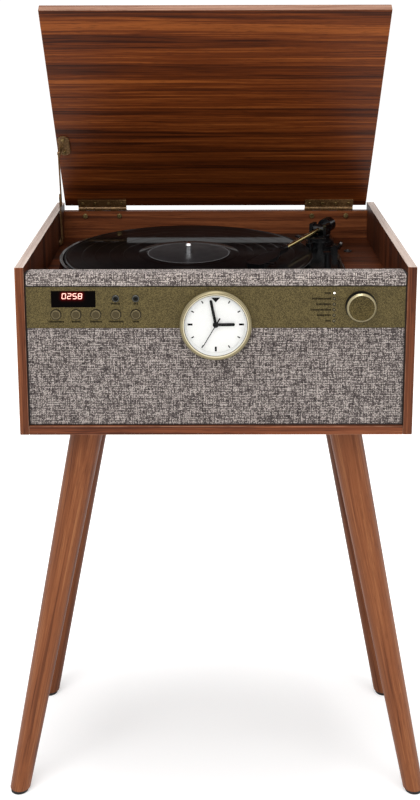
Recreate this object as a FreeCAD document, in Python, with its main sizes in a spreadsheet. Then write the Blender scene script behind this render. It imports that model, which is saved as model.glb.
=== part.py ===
import FreeCAD, Part
import math
import os
import re

import Sketcher
from FreeCAD import Placement, Rotation, Vector

# A console record player: a walnut box on four splayed legs, with a lid that opens on a stay,
# a belt-driven turntable on a deck, and a control strip with a clock across its cloth front.
# X runs right, Y runs back, Z runs up. The origin is on the floor, under the cabinet's middle.

# Sizes in millimetres and degrees, each written once
SIZES = {
    # Cabinet
    "cabinet_width": 430.0,
    "cabinet_depth": 340.0,
    "cabinet_height": 190.0,
    "panel_thickness": 10.0,
    "back_drop": 10.5,
    "deck_drop": 48.0,
    "deck_thickness": 9.0,
    "batten_width": 12.0,
    "batten_height": 14.0,
    "well_half_width": 110.0,
    "well_half_depth": 90.0,
    # Legs
    "leg_height": 500.5,
    "leg_splay": 11.3,
    "leg_rear_splay": 10.2,
    "leg_inset": 70.0,
    "leg_setback": 73.0,
    "leg_top_radius": 19.3,
    "leg_foot_radius": 12.0,
    "leg_plate_side": 64.0,
    "leg_plate_thickness": 3.0,
    "leg_stud_radius": 4.0,
    "leg_stud_length": 30.0,
    "leg_screw_spread": 24.0,
    "glide_height": 5.0,
    "glide_radius": 10.5,
    # Front
    "front_recess": 3.0,
    "front_drop": 7.0,
    "cloth_thickness": 1.0,
    "cloth_gap": 1.2,
    "baffle_thickness": 15.0,
    "fascia_drop": 22.5,
    "fascia_height": 45.7,
    "fascia_gap": 0.5,
    # Controls
    "control_depth": 6.0,
    "control_margin": 4.0,
    "board_thickness": 1.6,
    "post_radius": 2.0,
    "window_offset": 153.0,
    "window_rise": 9.4,
    "window_width": 48.0,
    "window_height": 18.4,
    "window_thickness": 2.5,
    "button_first": 172.0,
    "button_pitch": 21.5,
    "button_fall": 7.6,
    "button_radius": 5.0,
    "button_proud": 2.0,
    "button_flange": 6.0,
    "button_travel": 1.2,
    "switch_side": 6.0,
    "jack_rise": 10.0,
    "jack_bore": 1.8,
    "jack_ring": 3.7,
    "jack_neck": 2.9,
    "light_offset": 127.3,
    "light_rise": 15.85,
    "light_pitch": 6.2,
    "light_radius": 1.1,
    "knob_offset": 156.0,
    "knob_rise": 1.2,
    "knob_radius": 16.4,
    "knob_height": 8.0,
    "knob_bevel": 1.4,
    "knob_gap": 0.6,
    "knob_shaft": 3.0,
    "encoder_side": 13.0,
    "slip_gap": 0.15,
    "running_gap": 0.05,
    "free_gap": 0.3,
    # Clock
    "clock_drop": 64.5,
    "clock_radius": 39.0,
    "bezel_height": 7.0,
    "bezel_round": 2.0,
    "dial_radius": 34.3,
    "bezel_lip": 0.5,
    "sleeve_wall": 0.8,
    "sleeve_depth": 8.0,
    "clock_hole_gap": 0.4,
    "glass_thickness": 1.0,
    "glass_depth": 1.8,
    "dial_thickness": 0.8,
    "movement_radius": 30.0,
    "movement_depth": 15.0,
    "hand_thickness": 0.5,
    "hand_step": 1.05,
    "arbor_radius": 0.8,
    "arbor_wall": 0.7,
    "arbor_depth": 6.0,
    "hour_length": 19.8,
    "hour_width": 3.0,
    "hour_angle": 89.3,
    "minute_length": 29.2,
    "minute_width": 2.4,
    "minute_angle": 349.0,
    "second_length": 28.9,
    "second_tail": 9.0,
    "second_width": 0.8,
    "second_angle": 210.0,
    # Speakers
    "speaker_offset": 125.0,
    "speaker_drop": 125.0,
    "speaker_opening": 34.5,
    "speaker_flange": 41.0,
    "speaker_flange_thickness": 2.5,
    "basket_depth": 24.0,
    "basket_radius": 25.0,
    "basket_wall": 2.0,
    "cone_depth": 17.0,
    "cone_wall": 1.0,
    "magnet_depth": 12.0,
    # Boards and sockets inside and behind
    "main_board_width": 140.0,
    "main_board_depth": 90.0,
    "main_board_lift": 6.0,
    "capacitor_radius": 9.0,
    "capacitor_height": 26.0,
    "heat_sink_height": 30.0,
    "socket_plate_width": 100.0,
    "socket_plate_height": 36.0,
    "socket_plate_thickness": 2.0,
    "socket_plate_offset": 90.0,
    "socket_plate_rise": 70.0,
    "socket_margin": 6.0,
    "socket_length": 3.6,
    "socket_sink": 8.0,
    "socket_floor": 1.0,
    "socket_radius": 4.5,
    "socket_bore": 1.6,
    "socket_pitch": 22.0,
    "inlet_radius": 6.0,
    "inlet_bore": 2.8,
    # Turntable
    "platter_offset": 33.0,
    "platter_back": 4.0,
    "record_drop": 28.2,
    "record_radius": 151.0,
    "record_thickness": 2.0,
    "record_hole": 3.7,
    "groove_step": 0.5,
    "label_radius": 50.0,
    "platter_radius": 140.0,
    "platter_height": 9.0,
    "platter_web": 4.0,
    "platter_rim": 5.0,
    "belt_rim": 60.0,
    "belt_rim_wall": 4.0,
    "hub_radius": 10.0,
    "spindle_radius": 3.55,
    "spindle_rise": 13.0,
    "bearing_radius": 9.0,
    "bearing_depth": 30.0,
    "bearing_floor": 3.0,
    "chassis_height": 8.0,
    "chassis_radius": 157.0,
    "chassis_right": 156.0,
    "chassis_gap": 4.0,
    "chassis_round": 3.0,
    "lip_wall": 3.6,
    "lip_height": 10.0,
    "motor_reach": 90.0,
    "motor_bearing": 135.0,
    "motor_radius": 17.0,
    "motor_depth": 22.0,
    "motor_shaft": 1.0,
    "motor_hole": 8.0,
    "pulley_radius": 6.0,
    "pulley_height": 3.6,
    "belt_thickness": 0.8,
    "belt_height": 3.0,
    # Tonearm
    "pivot_offset": 134.0,
    "pivot_back": 82.0,
    "arm_angle": 26.5,
    "tube_drop": 17.0,
    "tube_radius": 2.6,
    "tube_wall": 0.7,
    "tube_reach": 118.0,
    "arm_reach": 198.0,
    "yoke_radius": 13.0,
    "yoke_floor": 2.8,
    "yoke_drop": 6.8,
    "yoke_shaft": 3.0,
    "yoke_shaft_length": 8.0,
    "cheek_thickness": 4.0,
    "cheek_length": 16.0,
    "cheek_rise": 7.0,
    "barrel_half": 7.2,
    "barrel_radius": 6.0,
    "pivot_pin": 1.5,
    "pivot_pin_reach": 3.6,
    "weight_radius": 9.5,
    "weight_start": 16.0,
    "weight_length": 16.0,
    "base_radius": 18.0,
    "head_length": 88.0,
    "head_neck": 9.0,
    "head_neck_length": 22.0,
    "head_width": 22.0,
    "head_thickness": 5.0,
    "head_nose": 12.0,
    "collar_radius": 4.0,
    "collar_length": 6.0,
    "finger_reach": 9.0,
    "finger_width": 4.0,
    "finger_thickness": 1.2,
    "cartridge_width": 15.0,
    "cartridge_length": 20.0,
    "cartridge_height": 7.6,
    "stylus_radius": 1.0,
    "stylus_tip": 0.2,
    "rest_reach": 107.0,
    "rest_post": 4.0,
    "rest_width": 11.0,
    "rest_depth": 6.0,
    "rest_saddle": 3.0,
    "rest_prong": 2.5,
    "rest_prong_rise": 7.0,
    "rest_gap": 0.5,
    # Cueing lever, lift and speed lever
    "lift_radius": 38.5,
    "lift_width": 5.0,
    "lift_thickness": 2.0,
    "lift_arc": 60.0,
    "lift_bearing": 245.25,
    "lift_post": 2.0,
    "lift_post_length": 16.0,
    "guide_radius": 4.5,
    "guide_height": 13.0,
    "guide_foot_width": 8.0,
    "guide_foot_height": 3.0,
    "lever_offset": 146.0,
    "lever_back": 38.0,
    "lever_post_width": 6.0,
    "lever_post_depth": 10.0,
    "lever_post_height": 13.0,
    "lever_pin": 1.5,
    "lever_pin_rise": 9.0,
    "lever_thickness": 3.0,
    "lever_length": 24.0,
    "lever_width": 5.0,
    "lever_tip": 3.2,
    "lever_angle": 155.0,
    "speed_offset": 138.0,
    "speed_forward": 95.0,
    "speed_radius": 8.0,
    "speed_height": 5.0,
    "speed_reach": 16.0,
    "speed_width": 5.0,
    "speed_shaft": 2.5,
    "speed_shaft_length": 6.0,
    # Lid, hinges and stay
    "lid_gap": 2.0,
    "lid_length": 328.0,
    "lid_thickness": 10.0,
    "lid_angle": 55.0,
    "lid_setback": 4.3,
    "lid_rise": 0.5,
    "hinge_back": 4.0,
    "hinge_rise": 3.4,
    "hinge_offset": 153.0,
    "hinge_width": 65.0,
    "knuckle_radius": 2.9,
    "knuckle_gap": 0.3,
    "hinge_pin": 1.2,
    "leaf_thickness": 1.0,
    "leaf_reach": 16.0,
    "leaf_clear": 0.7,
    "flange_height": 14.0,
    "bolt_spread": 23.0,
    "bolt_fall": 6.3,
    "nut_radius": 3.6,
    "nut_height": 2.6,
    "leaf_screw_spread": 26.0,
    "leaf_screw_inner": 9.0,
    "leaf_screw_reach": 10.0,
    "stay_setback": 40.0,
    "stay_drop": 42.0,
    "stay_reach": 107.0,
    "stay_offset": 8.0,
    "stay_thickness": 1.2,
    "stay_gap": 0.4,
    "stay_pin": 2.0,
    "lower_bar_width": 8.0,
    "lower_bar_length": 64.0,
    "upper_bar_width": 7.0,
    "upper_bar_length": 71.0,
    "slide_pin": 1.5,
    "slide_pin_reach": 64.5,
    "slot_start": 8.0,
    "slot_length": 52.5,
    "slot_half_width": 1.8,
    "bracket_thickness": 1.5,
    "bracket_radius": 8.0,
    "bracket_length": 14.0,
    "lid_plate_width": 15.0,
    "lid_plate_length": 33.0,
    "lid_plate_shift": 6.5,
    "lid_plate_screw": 10.4,
    "lid_plate_inset": 1.5,
    "ear_width": 9.0,
    # Screws
    "screw_head": 3.3,
    "screw_head_height": 1.5,
    "screw_shank": 1.7,
    "screw_length": 9.0,
    "leaf_screw_head": 2.2,
    "leaf_screw_head_height": 1.0,
    "leaf_screw_shank": 1.2,
    "leaf_screw_length": 8.0,
}

# Counts of what repeats
BUTTONS = 5
JACKS = 2
LIGHTS = 6
KNUCKLES = 6

# Places worked out from the sizes
PLACES = {
    "cabinet_top": "leg_height + cabinet_height",
    "front_edge": "-cabinet_depth / 2",
    "back_edge": "cabinet_depth / 2",
    "inner_half": "cabinet_width / 2 - panel_thickness",
    "floor_top": "leg_height + panel_thickness",
    "back_inner": "back_edge - panel_thickness",
    "back_top": "cabinet_top - back_drop",
    "deck_top": "cabinet_top - deck_drop",
    "deck_low": "deck_top - deck_thickness",
    "leg_x": "cabinet_width / 2 - leg_inset",
    "leg_y": "cabinet_depth / 2 - leg_setback",
    "plate_low": "leg_height - leg_plate_thickness",
    "cloth_front": "front_edge + front_recess",
    "baffle_front": "cloth_front + cloth_thickness",
    "baffle_back": "baffle_front + baffle_thickness",
    "cloth_top": "cabinet_top - front_drop",
    "baffle_top": "cloth_top - cloth_thickness",
    "cloth_half": "inner_half - cloth_gap",
    "cloth_low": "floor_top + cloth_gap",
    "fascia_top": "cabinet_top - fascia_drop",
    "fascia_low": "fascia_top - fascia_height",
    "fascia_mid": "fascia_top - fascia_height / 2",
    "board_front": "baffle_front + control_depth",
    "button_z": "fascia_mid - button_fall",
    "button_hole": "button_radius + slip_gap",
    "window_z": "fascia_mid + window_rise",
    "jack_z": "fascia_mid + jack_rise",
    "light_z": "fascia_mid + light_rise",
    "knob_z": "fascia_mid + knob_rise",
    "button_last": f"button_first - {BUTTONS - 1} * button_pitch",
    "left_board_low": "-button_first - button_flange - control_margin",
    "left_board_high": "-button_last + button_flange + control_margin",
    "right_board_low": "light_offset - 2 * control_margin",
    "right_board_high": "knob_offset + knob_radius",
    "board_low": "fascia_low + control_margin",
    "board_high": "fascia_top - control_margin",
    "flange_back": "cloth_thickness + free_gap + cloth_thickness",
    "clock_z": "cabinet_top - clock_drop",
    "bezel_bore": "dial_radius + bezel_lip",
    "sleeve_radius": "bezel_bore + sleeve_wall",
    "clock_hole": "sleeve_radius + clock_hole_gap",
    "glass_front": "-bezel_height + glass_depth",
    "disc_radius": "bezel_bore - slip_gap",
    "minute_arbor": "arbor_radius + running_gap + arbor_wall",
    "hour_arbor": "minute_arbor + running_gap + arbor_wall",
    "hour_back": "-hand_step",
    "minute_back": "hour_back - hand_step",
    "second_back": "minute_back - hand_step",
    "speaker_z": "cabinet_top - speaker_drop",
    "record_top": "cabinet_top - record_drop",
    "platter_top": "record_top - record_thickness",
    "chassis_top": "deck_top + chassis_height",
    "chassis_front": "baffle_back + chassis_gap",
    "chassis_back": "back_inner - chassis_gap",
    "bearing_low": "deck_top - bearing_depth",
    "motor_x": "-platter_offset + motor_reach * cos(motor_bearing * 1 deg)",
    "motor_y": "platter_back + motor_reach * sin(motor_bearing * 1 deg)",
    "belt_z": "platter_top - platter_web - free_gap - belt_height",
    "tube_z": "cabinet_top - tube_drop",
    "yoke_low": "tube_z - yoke_drop - yoke_floor",
    "base_top": "yoke_low - free_gap",
    "cheek_top": "tube_z + cheek_rise",
    "rest_y": "pivot_back - rest_reach",
    "saddle_top": "tube_z - tube_radius - rest_gap",
    "lift_top": "tube_z - tube_radius - rest_gap",
    "lift_turn": "lift_bearing - lift_arc / 2",
    "guide_x": "lift_radius * cos(lift_arc / 2 * 1 deg)",
    "guide_y": "lift_radius * sin(lift_arc / 2 * 1 deg)",
    "lever_z": "chassis_top + lever_pin_rise",
    "lever_side": "lever_offset + lever_post_width",
    "hinge_y": "back_inner + hinge_back",
    "hinge_z": "back_top + hinge_rise",
    "lid_half": "inner_half - lid_gap",
    "knuckle_pitch": f"hinge_width / {KNUCKLES}",
    "leaf_low": "lid_rise - leaf_thickness",
    "leaf_front": "-leaf_reach",
    "leaf_stop": "-knuckle_radius - leaf_clear",
    "bolt_z": "back_top - bolt_fall",
    "stay_back": "back_inner - stay_setback",
    "stay_z": "cabinet_top - stay_drop",
    "ear_y": "-lid_setback - stay_reach",
    "ear_z": "lid_rise - stay_offset",
    "stay_dy": "hinge_y + ear_y * cos(lid_angle * 1 deg) + ear_z * sin(lid_angle * 1 deg) - stay_back",
    "stay_dz": "hinge_z - ear_y * sin(lid_angle * 1 deg) + ear_z * cos(lid_angle * 1 deg) - stay_z",
    "stay_span": "sqrt(stay_dy ^ 2 + stay_dz ^ 2)",
    "stay_angle": "90 + atan(-stay_dy / stay_dz) / 1 deg",
    "lower_bar_x": "-inner_half + bracket_thickness + stay_gap",
    "upper_bar_x": "lower_bar_x + stay_thickness + stay_gap",
    "ear_x": "upper_bar_x + stay_thickness + stay_gap",
    "socket_x": "-socket_plate_offset",
    "socket_z": "leg_height + socket_plate_rise",
    "socket_back": "back_edge + socket_plate_thickness",
}

ORIGIN = ("0", "0", "0")
SIDES = {"left": "-1", "right": "1"}
ENDS = {"front": "-1", "rear": "1"}

doc = FreeCAD.newDocument("RecordPlayer")
sheet = doc.addObject("Spreadsheet::Sheet", "Dims")
for row, (alias, size) in enumerate(SIZES.items(), start=1):
    sheet.set(f"A{row}", alias)
    sheet.set(f"B{row}", str(size))
    sheet.setAlias(f"B{row}", alias)
doc.recompute()

nodes = []


def formula(text):
    """Write out the named places in a formula and point its sizes at the sheet."""

    def expand(match):
        name = match.group()
        if name in PLACES:
            return "(" + formula(PLACES[name]) + ")"
        if name in SIZES:
            return "Dims." + name
        return name

    return re.sub(r"[a-z_][a-z_0-9]*", expand, text)


def measure(text):
    """The number that a formula comes to."""
    return float(sheet.evalExpression(formula(text)))


def bind(obj, **formulas):
    """Bind an object's properties to formulas."""
    for name, text in formulas.items():
        obj.setExpression(name, formula(text))


def place(obj, at, axis=None, angle="0"):
    """Put an object at a point, turned about an axis through that point."""
    if axis:
        obj.Placement = Placement(Vector(), Rotation(Vector(*axis), 1))
        obj.setExpression("Placement.Rotation.Angle", formula(angle))
    for name, text in zip("xyz", at):
        obj.setExpression(f"Placement.Base.{name}", formula(text))
    return obj


def keep(obj, label):
    """Name an object as one of the player's pieces."""
    obj.Label = label
    nodes.append(obj)
    return obj


# Solids from primitives

ALONG = {
    "x": Rotation(Vector(0, 1, 0), 90),
    "y": Rotation(Vector(1, 0, 0), -90),
    "z": Rotation(),
}


def box(name, low, high):
    """A box between its lowest and highest corners."""
    obj = doc.addObject("Part::Box", name)
    for side, start, end in zip(("Length", "Width", "Height"), low, high):
        bind(obj, **{side: f"({end}) - ({start})"})
    return place(obj, low)


def block(name, centre, size):
    """A box about its centre in X and Y, standing on the height given."""
    x, y, z = centre
    width, depth, height = size
    low = (f"{x} - ({width}) / 2", f"{y} - ({depth}) / 2", z)
    high = (f"{x} + ({width}) / 2", f"{y} + ({depth}) / 2", f"{z} + {height}")
    return box(name, low, high)


def rod(name, radius, length, at, along="z"):
    """A round bar that starts at a point and runs along an axis."""
    obj = doc.addObject("Part::Cylinder", name)
    obj.Placement = Placement(Vector(), ALONG[along])
    bind(obj, Radius=radius, Height=length)
    return place(obj, at)


def group(name, members, at=ORIGIN, axis=None, angle="0"):
    """Separate solids that share one piece's name."""
    obj = doc.addObject("Part::Compound", name)
    obj.Links = members
    return place(obj, at, axis, angle)


def fuse(name, members, at=ORIGIN, axis=None, angle="0"):
    """One solid from several that overlap or touch."""
    obj = doc.addObject("Part::MultiFuse", name)
    obj.Shapes = members
    obj.Refine = True
    return place(obj, at, axis, angle)


def cut(name, base, tools, at=ORIGIN, axis=None, angle="0"):
    """A solid with others taken away."""
    obj = doc.addObject("Part::Cut", name)
    obj.Base = base
    obj.Tool = tools[0] if len(tools) == 1 else fuse(name + "_tools", tools)
    obj.Refine = True
    return place(obj, at, axis, angle)


def common(name, first, second):
    """What two solids share."""
    obj = doc.addObject("Part::Common", name)
    obj.Base = first
    obj.Tool = second
    return obj


def bar(name, length, width, thickness, x):
    """A flat bar with round ends, from a pivot at the origin along Y, standing on a plane of constant X."""
    half = f"({width}) / 2"
    flat = box(
        name + "_flat",
        (x, "0", f"-{half}"),
        (f"{x} + {thickness}", length, half),
    )
    near = rod(name + "_near", half, thickness, (x, "0", "0"), "x")
    far = rod(name + "_far", half, thickness, (x, length, "0"), "x")
    return fuse(name + "_blank", [flat, near, far])


def screw(name, at, along, way=1, small=False):
    """A pan-head screw whose head stands on a face; returns the screw and the shank that drills for it."""
    kind = "leaf_screw" if small else "screw"
    index = "xyz".index(along)
    head_at = list(at)
    shank_at = list(at)
    moved = head_at if way > 0 else shank_at
    drop = f"{kind}_head_height" if way > 0 else f"{kind}_length"
    moved[index] = f"{at[index]} - {drop}"
    head = rod(name + "_head", f"{kind}_head", f"{kind}_head_height", head_at, along)
    shank = rod(name + "_shank", f"{kind}_shank", f"{kind}_length", shank_at, along)
    return fuse(name, [head, shank]), shank


# Bodies from sketches


def origin_plane(body, role):
    """One of a body's own origin planes."""
    return next(f for f in body.Origin.OriginFeatures if f.Role == role)


def pin_point(sketch, geometry, position, corner):
    """Hold a sketch point at two formulas."""
    for kind, text in zip(("DistanceX", "DistanceY"), corner):
        rule = Sketcher.Constraint(kind, -1, 1, geometry, position, measure(text))
        sketch.setExpression(f"Constraints[{sketch.addConstraint(rule)}]", formula(text))


def polygon(sketch, corners):
    """A closed outline through corners."""
    points = [Vector(measure(x), measure(y), 0) for x, y in corners]
    first = sketch.GeometryCount
    count = len(corners)
    for i in range(count):
        sketch.addGeometry(Part.LineSegment(points[i], points[(i + 1) % count]), False)
    for i in range(count):
        following = first + (i + 1) % count
        sketch.addConstraint(Sketcher.Constraint("Coincident", first + i, 2, following, 1))
    for i in range(count):
        pin_point(sketch, first + i, 1, corners[i])


def rectangle(sketch, low, high):
    """A closed outline between two opposite corners."""
    polygon(sketch, [low, (high[0], low[1]), high, (low[0], high[1])])


def circle(sketch, centre, radius):
    """A circle about a centre."""
    middle = Vector(measure(centre[0]), measure(centre[1]), 0)
    index = sketch.addGeometry(Part.Circle(middle, Vector(0, 0, 1), measure(radius)), False)
    pin_point(sketch, index, 3, centre)
    rule = Sketcher.Constraint("Radius", index, measure(radius))
    sketch.setExpression(f"Constraints[{sketch.addConstraint(rule)}]", formula(radius))


def sketched_body(name, role):
    """A body with an empty sketch on one of its origin planes."""
    body = doc.addObject("PartDesign::Body", name)
    sketch = body.newObject("Sketcher::SketchObject", name + "_outline")
    sketch.AttachmentSupport = [(origin_plane(body, role), "")]
    sketch.MapMode = "FlatFace"
    return body, sketch


TURNING = {"x": ("XY_Plane", "H_Axis"), "y": ("XY_Plane", "V_Axis"), "z": ("XZ_Plane", "V_Axis")}


def turned(name, profile, along="z", at=ORIGIN, axis=None, angle="0"):
    """A body turned about an axis from corners of (radius, distance along the axis)."""
    role, about = TURNING[along]
    body, sketch = sketched_body(name, role)
    polygon(sketch, [(run, out) if along == "x" else (out, run) for out, run in profile])
    turn = body.newObject("PartDesign::Revolution", name + "_turn")
    turn.Profile = sketch
    turn.ReferenceAxis = (sketch, [about])
    turn.Angle = 360
    return place(body, at, axis, angle)


def plate(name, role, outlines, thickness, at=ORIGIN, axis=None, angle="0"):
    """A body padded from outlines on an origin plane; an XZ plane pads forwards."""
    body, sketch = sketched_body(name, role)
    for draw, *details in outlines:
        draw(sketch, *details)
    pad = body.newObject("PartDesign::Pad", name + "_pad")
    pad.Profile = sketch
    bind(pad, Length=thickness)
    return place(body, at, axis, angle)


# Fasteners that hold the cabinet together

cabinet_fasteners = []
leg_shanks = []
hinge_shanks = []
socket_shanks = []

for side, sx in SIDES.items():
    for end, sy in ENDS.items():
        for across in ("-1", "1"):
            for along in ("-1", "1"):
                at = (
                    f"{sx} * leg_x + {across} * leg_screw_spread",
                    f"{sy} * leg_y + {along} * leg_screw_spread",
                    "plate_low",
                )
                made, shank = screw("leg_plate_screw", at, "z")
                cabinet_fasteners.append(made)
                leg_shanks.append(shank)

for side, sx in SIDES.items():
    for across in ("-1", "1"):
        bolt_x = f"{sx} * hinge_offset + {across} * bolt_spread"
        head = rod(
            "hinge_bolt_head",
            "screw_head",
            "screw_head_height",
            (bolt_x, "back_inner - screw_head_height", "bolt_z"),
            "y",
        )
        shank = rod(
            "hinge_bolt_shank",
            "screw_shank",
            "panel_thickness + leaf_thickness",
            (bolt_x, "back_inner", "bolt_z"),
            "y",
        )
        nut = doc.addObject("Part::Prism", "hinge_nut")
        nut.Polygon = 6
        nut.Placement = Placement(Vector(), ALONG["y"])
        bind(nut, Circumradius="nut_radius", Height="nut_height")
        place(nut, (bolt_x, "back_edge + leaf_thickness", "bolt_z"))
        cabinet_fasteners += [fuse("hinge_bolt", [head, shank]), nut]
        hinge_shanks.append(shank)

for across in ("-1", "1"):
    socket_screw_x = f"socket_x + {across} * (socket_plate_width / 2 - socket_margin / 2)"
    made, shank = screw("socket_screw", (socket_screw_x, "socket_back", "socket_z"), "y", way=-1)
    cabinet_fasteners.append(made)
    socket_shanks.append(shank)

keep(group("cabinet_screws", cabinet_fasteners), "cabinet_screws")


# Cabinet panels


def cabinet_panels():
    """Two sides, a floor between them and a back that stops short of the top."""
    for side, sx in SIDES.items():
        middle = f"{sx} * (cabinet_width - panel_thickness) / 2"
        panel = box(
            f"side_panel_{side}",
            (f"{middle} - panel_thickness / 2", "front_edge", "leg_height"),
            (f"{middle} + panel_thickness / 2", "back_edge", "cabinet_top"),
        )
        keep(panel, f"side_panel_{side}")
    floor = box(
        "bottom_blank",
        ("-inner_half", "front_edge", "leg_height"),
        ("inner_half", "back_edge", "floor_top"),
    )
    keep(cut("bottom_panel", floor, leg_shanks), "bottom_panel")
    back = box(
        "back_blank",
        ("-inner_half", "back_inner", "floor_top"),
        ("inner_half", "back_edge", "back_top"),
    )
    opening = box(
        "socket_opening",
        (
            "socket_x - socket_plate_width / 2 + socket_margin",
            "back_inner - free_gap",
            "socket_z - socket_plate_height / 2 + socket_margin",
        ),
        (
            "socket_x + socket_plate_width / 2 - socket_margin",
            "back_edge + free_gap",
            "socket_z + socket_plate_height / 2 - socket_margin",
        ),
    )
    keep(cut("back_panel", back, [opening] + hinge_shanks + socket_shanks), "back_panel")


def deck():
    """The board that carries the turntable, on a batten along each side."""
    board = box(
        "deck_blank",
        ("-inner_half", "baffle_back", "deck_low"),
        ("inner_half", "back_inner", "deck_top"),
    )
    well = box(
        "deck_well",
        (
            "-platter_offset - well_half_width",
            "platter_back - well_half_depth",
            "deck_low - free_gap",
        ),
        (
            "-platter_offset + well_half_width",
            "platter_back + well_half_depth",
            "deck_top + free_gap",
        ),
    )
    members = [cut("deck_top_board", board, [well])]
    for side, sx in SIDES.items():
        centre = (f"{sx} * (inner_half - batten_width / 2)", "(baffle_back + back_inner) / 2")
        members.append(
            block(
                f"batten_{side}",
                (*centre, "deck_low - batten_height"),
                ("batten_width", "back_inner - baffle_back", "batten_height"),
            )
        )
    keep(group("deck_board", members), "deck_board")


def legs():
    """Four tapered legs splayed to the sides, each on a plate with a stud, with a flat glide under it."""
    leg_slab = box(
        "leg_slab",
        ("-cabinet_width", "-cabinet_depth", "glide_height"),
        ("cabinet_width", "cabinet_depth", "plate_low"),
    )
    glide_slab = box(
        "glide_slab",
        ("-cabinet_width", "-cabinet_depth", "0"),
        ("cabinet_width", "cabinet_depth", "glide_height"),
    )
    run = "(leg_height / cos(leg_splay * 1 deg) + leg_foot_radius)"
    spare = "leg_top_radius"
    plates = []
    glides = []
    for side, sx in SIDES.items():
        for end, sy in ENDS.items():
            name = f"leg_{end}_{side}"
            at = (f"{sx} * leg_x", f"{sy} * leg_y", "leg_height")
            splay = "leg_splay" if end == "front" else "leg_rear_splay"
            tilt = {"at": at, "axis": (0, 1, 0), "angle": f"-1 * {sx} * {splay}"}
            cone = [
                ("0", spare),
                ("leg_top_radius", spare),
                ("leg_foot_radius", f"-{run}"),
                ("0", f"-{run}"),
            ]
            shaft = turned(name + "_shaft", cone, **tilt)
            stud_at = ("0", "0", "-leg_stud_length")
            stud_run = "leg_stud_length - leg_plate_thickness / 2"
            stud_rod = rod(name + "_stud_rod", "leg_stud_radius", stud_run, stud_at)
            stud = group(name + "_stud", [stud_rod], **tilt)
            leg = common(name + "_blank", shaft, leg_slab)
            keep(cut(name, leg, [stud]), name)
            flat = block(
                name + "_plate",
                (at[0], at[1], "plate_low"),
                ("leg_plate_side", "leg_plate_side", "leg_plate_thickness"),
            )
            plates.append(cut(name + "_mount", fuse(name + "_welded", [flat, stud]), leg_shanks))
            disc = rod(name + "_disc", "glide_radius", run, ("0", "0", f"-{run}"))
            glides.append(common(name + "_glide", group(name + "_peg", [disc], **tilt), glide_slab))
    keep(group("leg_plates", plates), "leg_plates")
    keep(group("foot_glides", glides), "foot_glides")


# Front


def clock_bore(name):
    """The round hole that the clock's sleeve passes through."""
    return rod(
        name,
        "clock_hole",
        "front_recess + baffle_thickness",
        ("0", "front_edge", "clock_z"),
        "y",
    )


def button_x(index):
    """Where a push button stands, counted from the left."""
    return f"-button_first + {index} * button_pitch"


def jack_x(index):
    """Where a jack stands, over the last push buttons."""
    return button_x(BUTTONS - JACKS + index)


def light_height(index):
    """Where an indicator light stands, counted from the top."""
    return f"light_z - {index} * light_pitch"


def front_board():
    """The board behind the cloth, open for the speakers, the clock and the controls."""
    outlines = [
        (rectangle, ("-inner_half", "floor_top"), ("inner_half", "baffle_top")),
        (circle, ("0", "clock_z"), "clock_hole"),
        (rectangle, ("left_board_low", "board_low"), ("left_board_high", "board_high")),
        (rectangle, ("right_board_low", "board_low"), ("right_board_high", "board_high")),
    ]
    for sx in SIDES.values():
        outlines.append((circle, (f"{sx} * speaker_offset", "speaker_z"), "speaker_opening"))
    at = ("0", "baffle_back", "0")
    keep(plate("front_baffle", "XZ_Plane", outlines, "baffle_thickness", at), "front_baffle")


def cloth():
    """Cloth over the board's top edge and upper face, and over its face below the control strip."""
    wrap = [
        ("cloth_front", "fascia_top + fascia_gap"),
        ("baffle_front", "fascia_top + fascia_gap"),
        ("baffle_front", "baffle_top"),
        ("baffle_back", "baffle_top"),
        ("baffle_back", "cloth_top"),
        ("cloth_front", "cloth_top"),
    ]
    at = ("-cloth_half", "0", "0")
    upper = plate("grille_cloth_upper", "YZ_Plane", [(polygon, wrap)], "2 * cloth_half", at)
    keep(upper, "grille_cloth_upper")
    sheet_below = box(
        "lower_cloth_blank",
        ("-cloth_half", "cloth_front", "cloth_low"),
        ("cloth_half", "baffle_front", "fascia_low - fascia_gap"),
    )
    lower = cut("grille_cloth_lower", sheet_below, [clock_bore("lower_cloth_bore")])
    keep(lower, "grille_cloth_lower")


def control_strip():
    """The metal strip with its window, button, jack, light and knob holes."""
    window_low = ("-window_offset - window_width / 2", "window_z - window_height / 2")
    window_high = ("-window_offset + window_width / 2", "window_z + window_height / 2")
    outlines = [
        (rectangle, ("-cloth_half", "fascia_low"), ("cloth_half", "fascia_top")),
        (rectangle, window_low, window_high),
        (circle, ("knob_offset", "knob_z"), "knob_shaft + free_gap"),
    ]
    for i in range(BUTTONS):
        outlines.append((circle, (button_x(i), "button_z"), "button_hole"))
    for i in range(JACKS):
        outlines.append((circle, (jack_x(i), "jack_z"), "jack_neck + slip_gap"))
    for i in range(LIGHTS):
        outlines.append((circle, ("light_offset", light_height(i)), "light_radius + slip_gap"))
    at = ("0", "baffle_front", "0")
    blank = plate("fascia_blank", "XZ_Plane", outlines, "cloth_thickness", at)
    keep(cut("control_fascia", blank, [clock_bore("fascia_bore")]), "control_fascia")
    pane = box(
        "display_window",
        (f"{window_low[0]} + slip_gap", "cloth_front", f"{window_low[1]} + slip_gap"),
        (
            f"{window_high[0]} - slip_gap",
            "cloth_front + window_thickness",
            f"{window_high[1]} - slip_gap",
        ),
    )
    keep(pane, "display_window")


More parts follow.
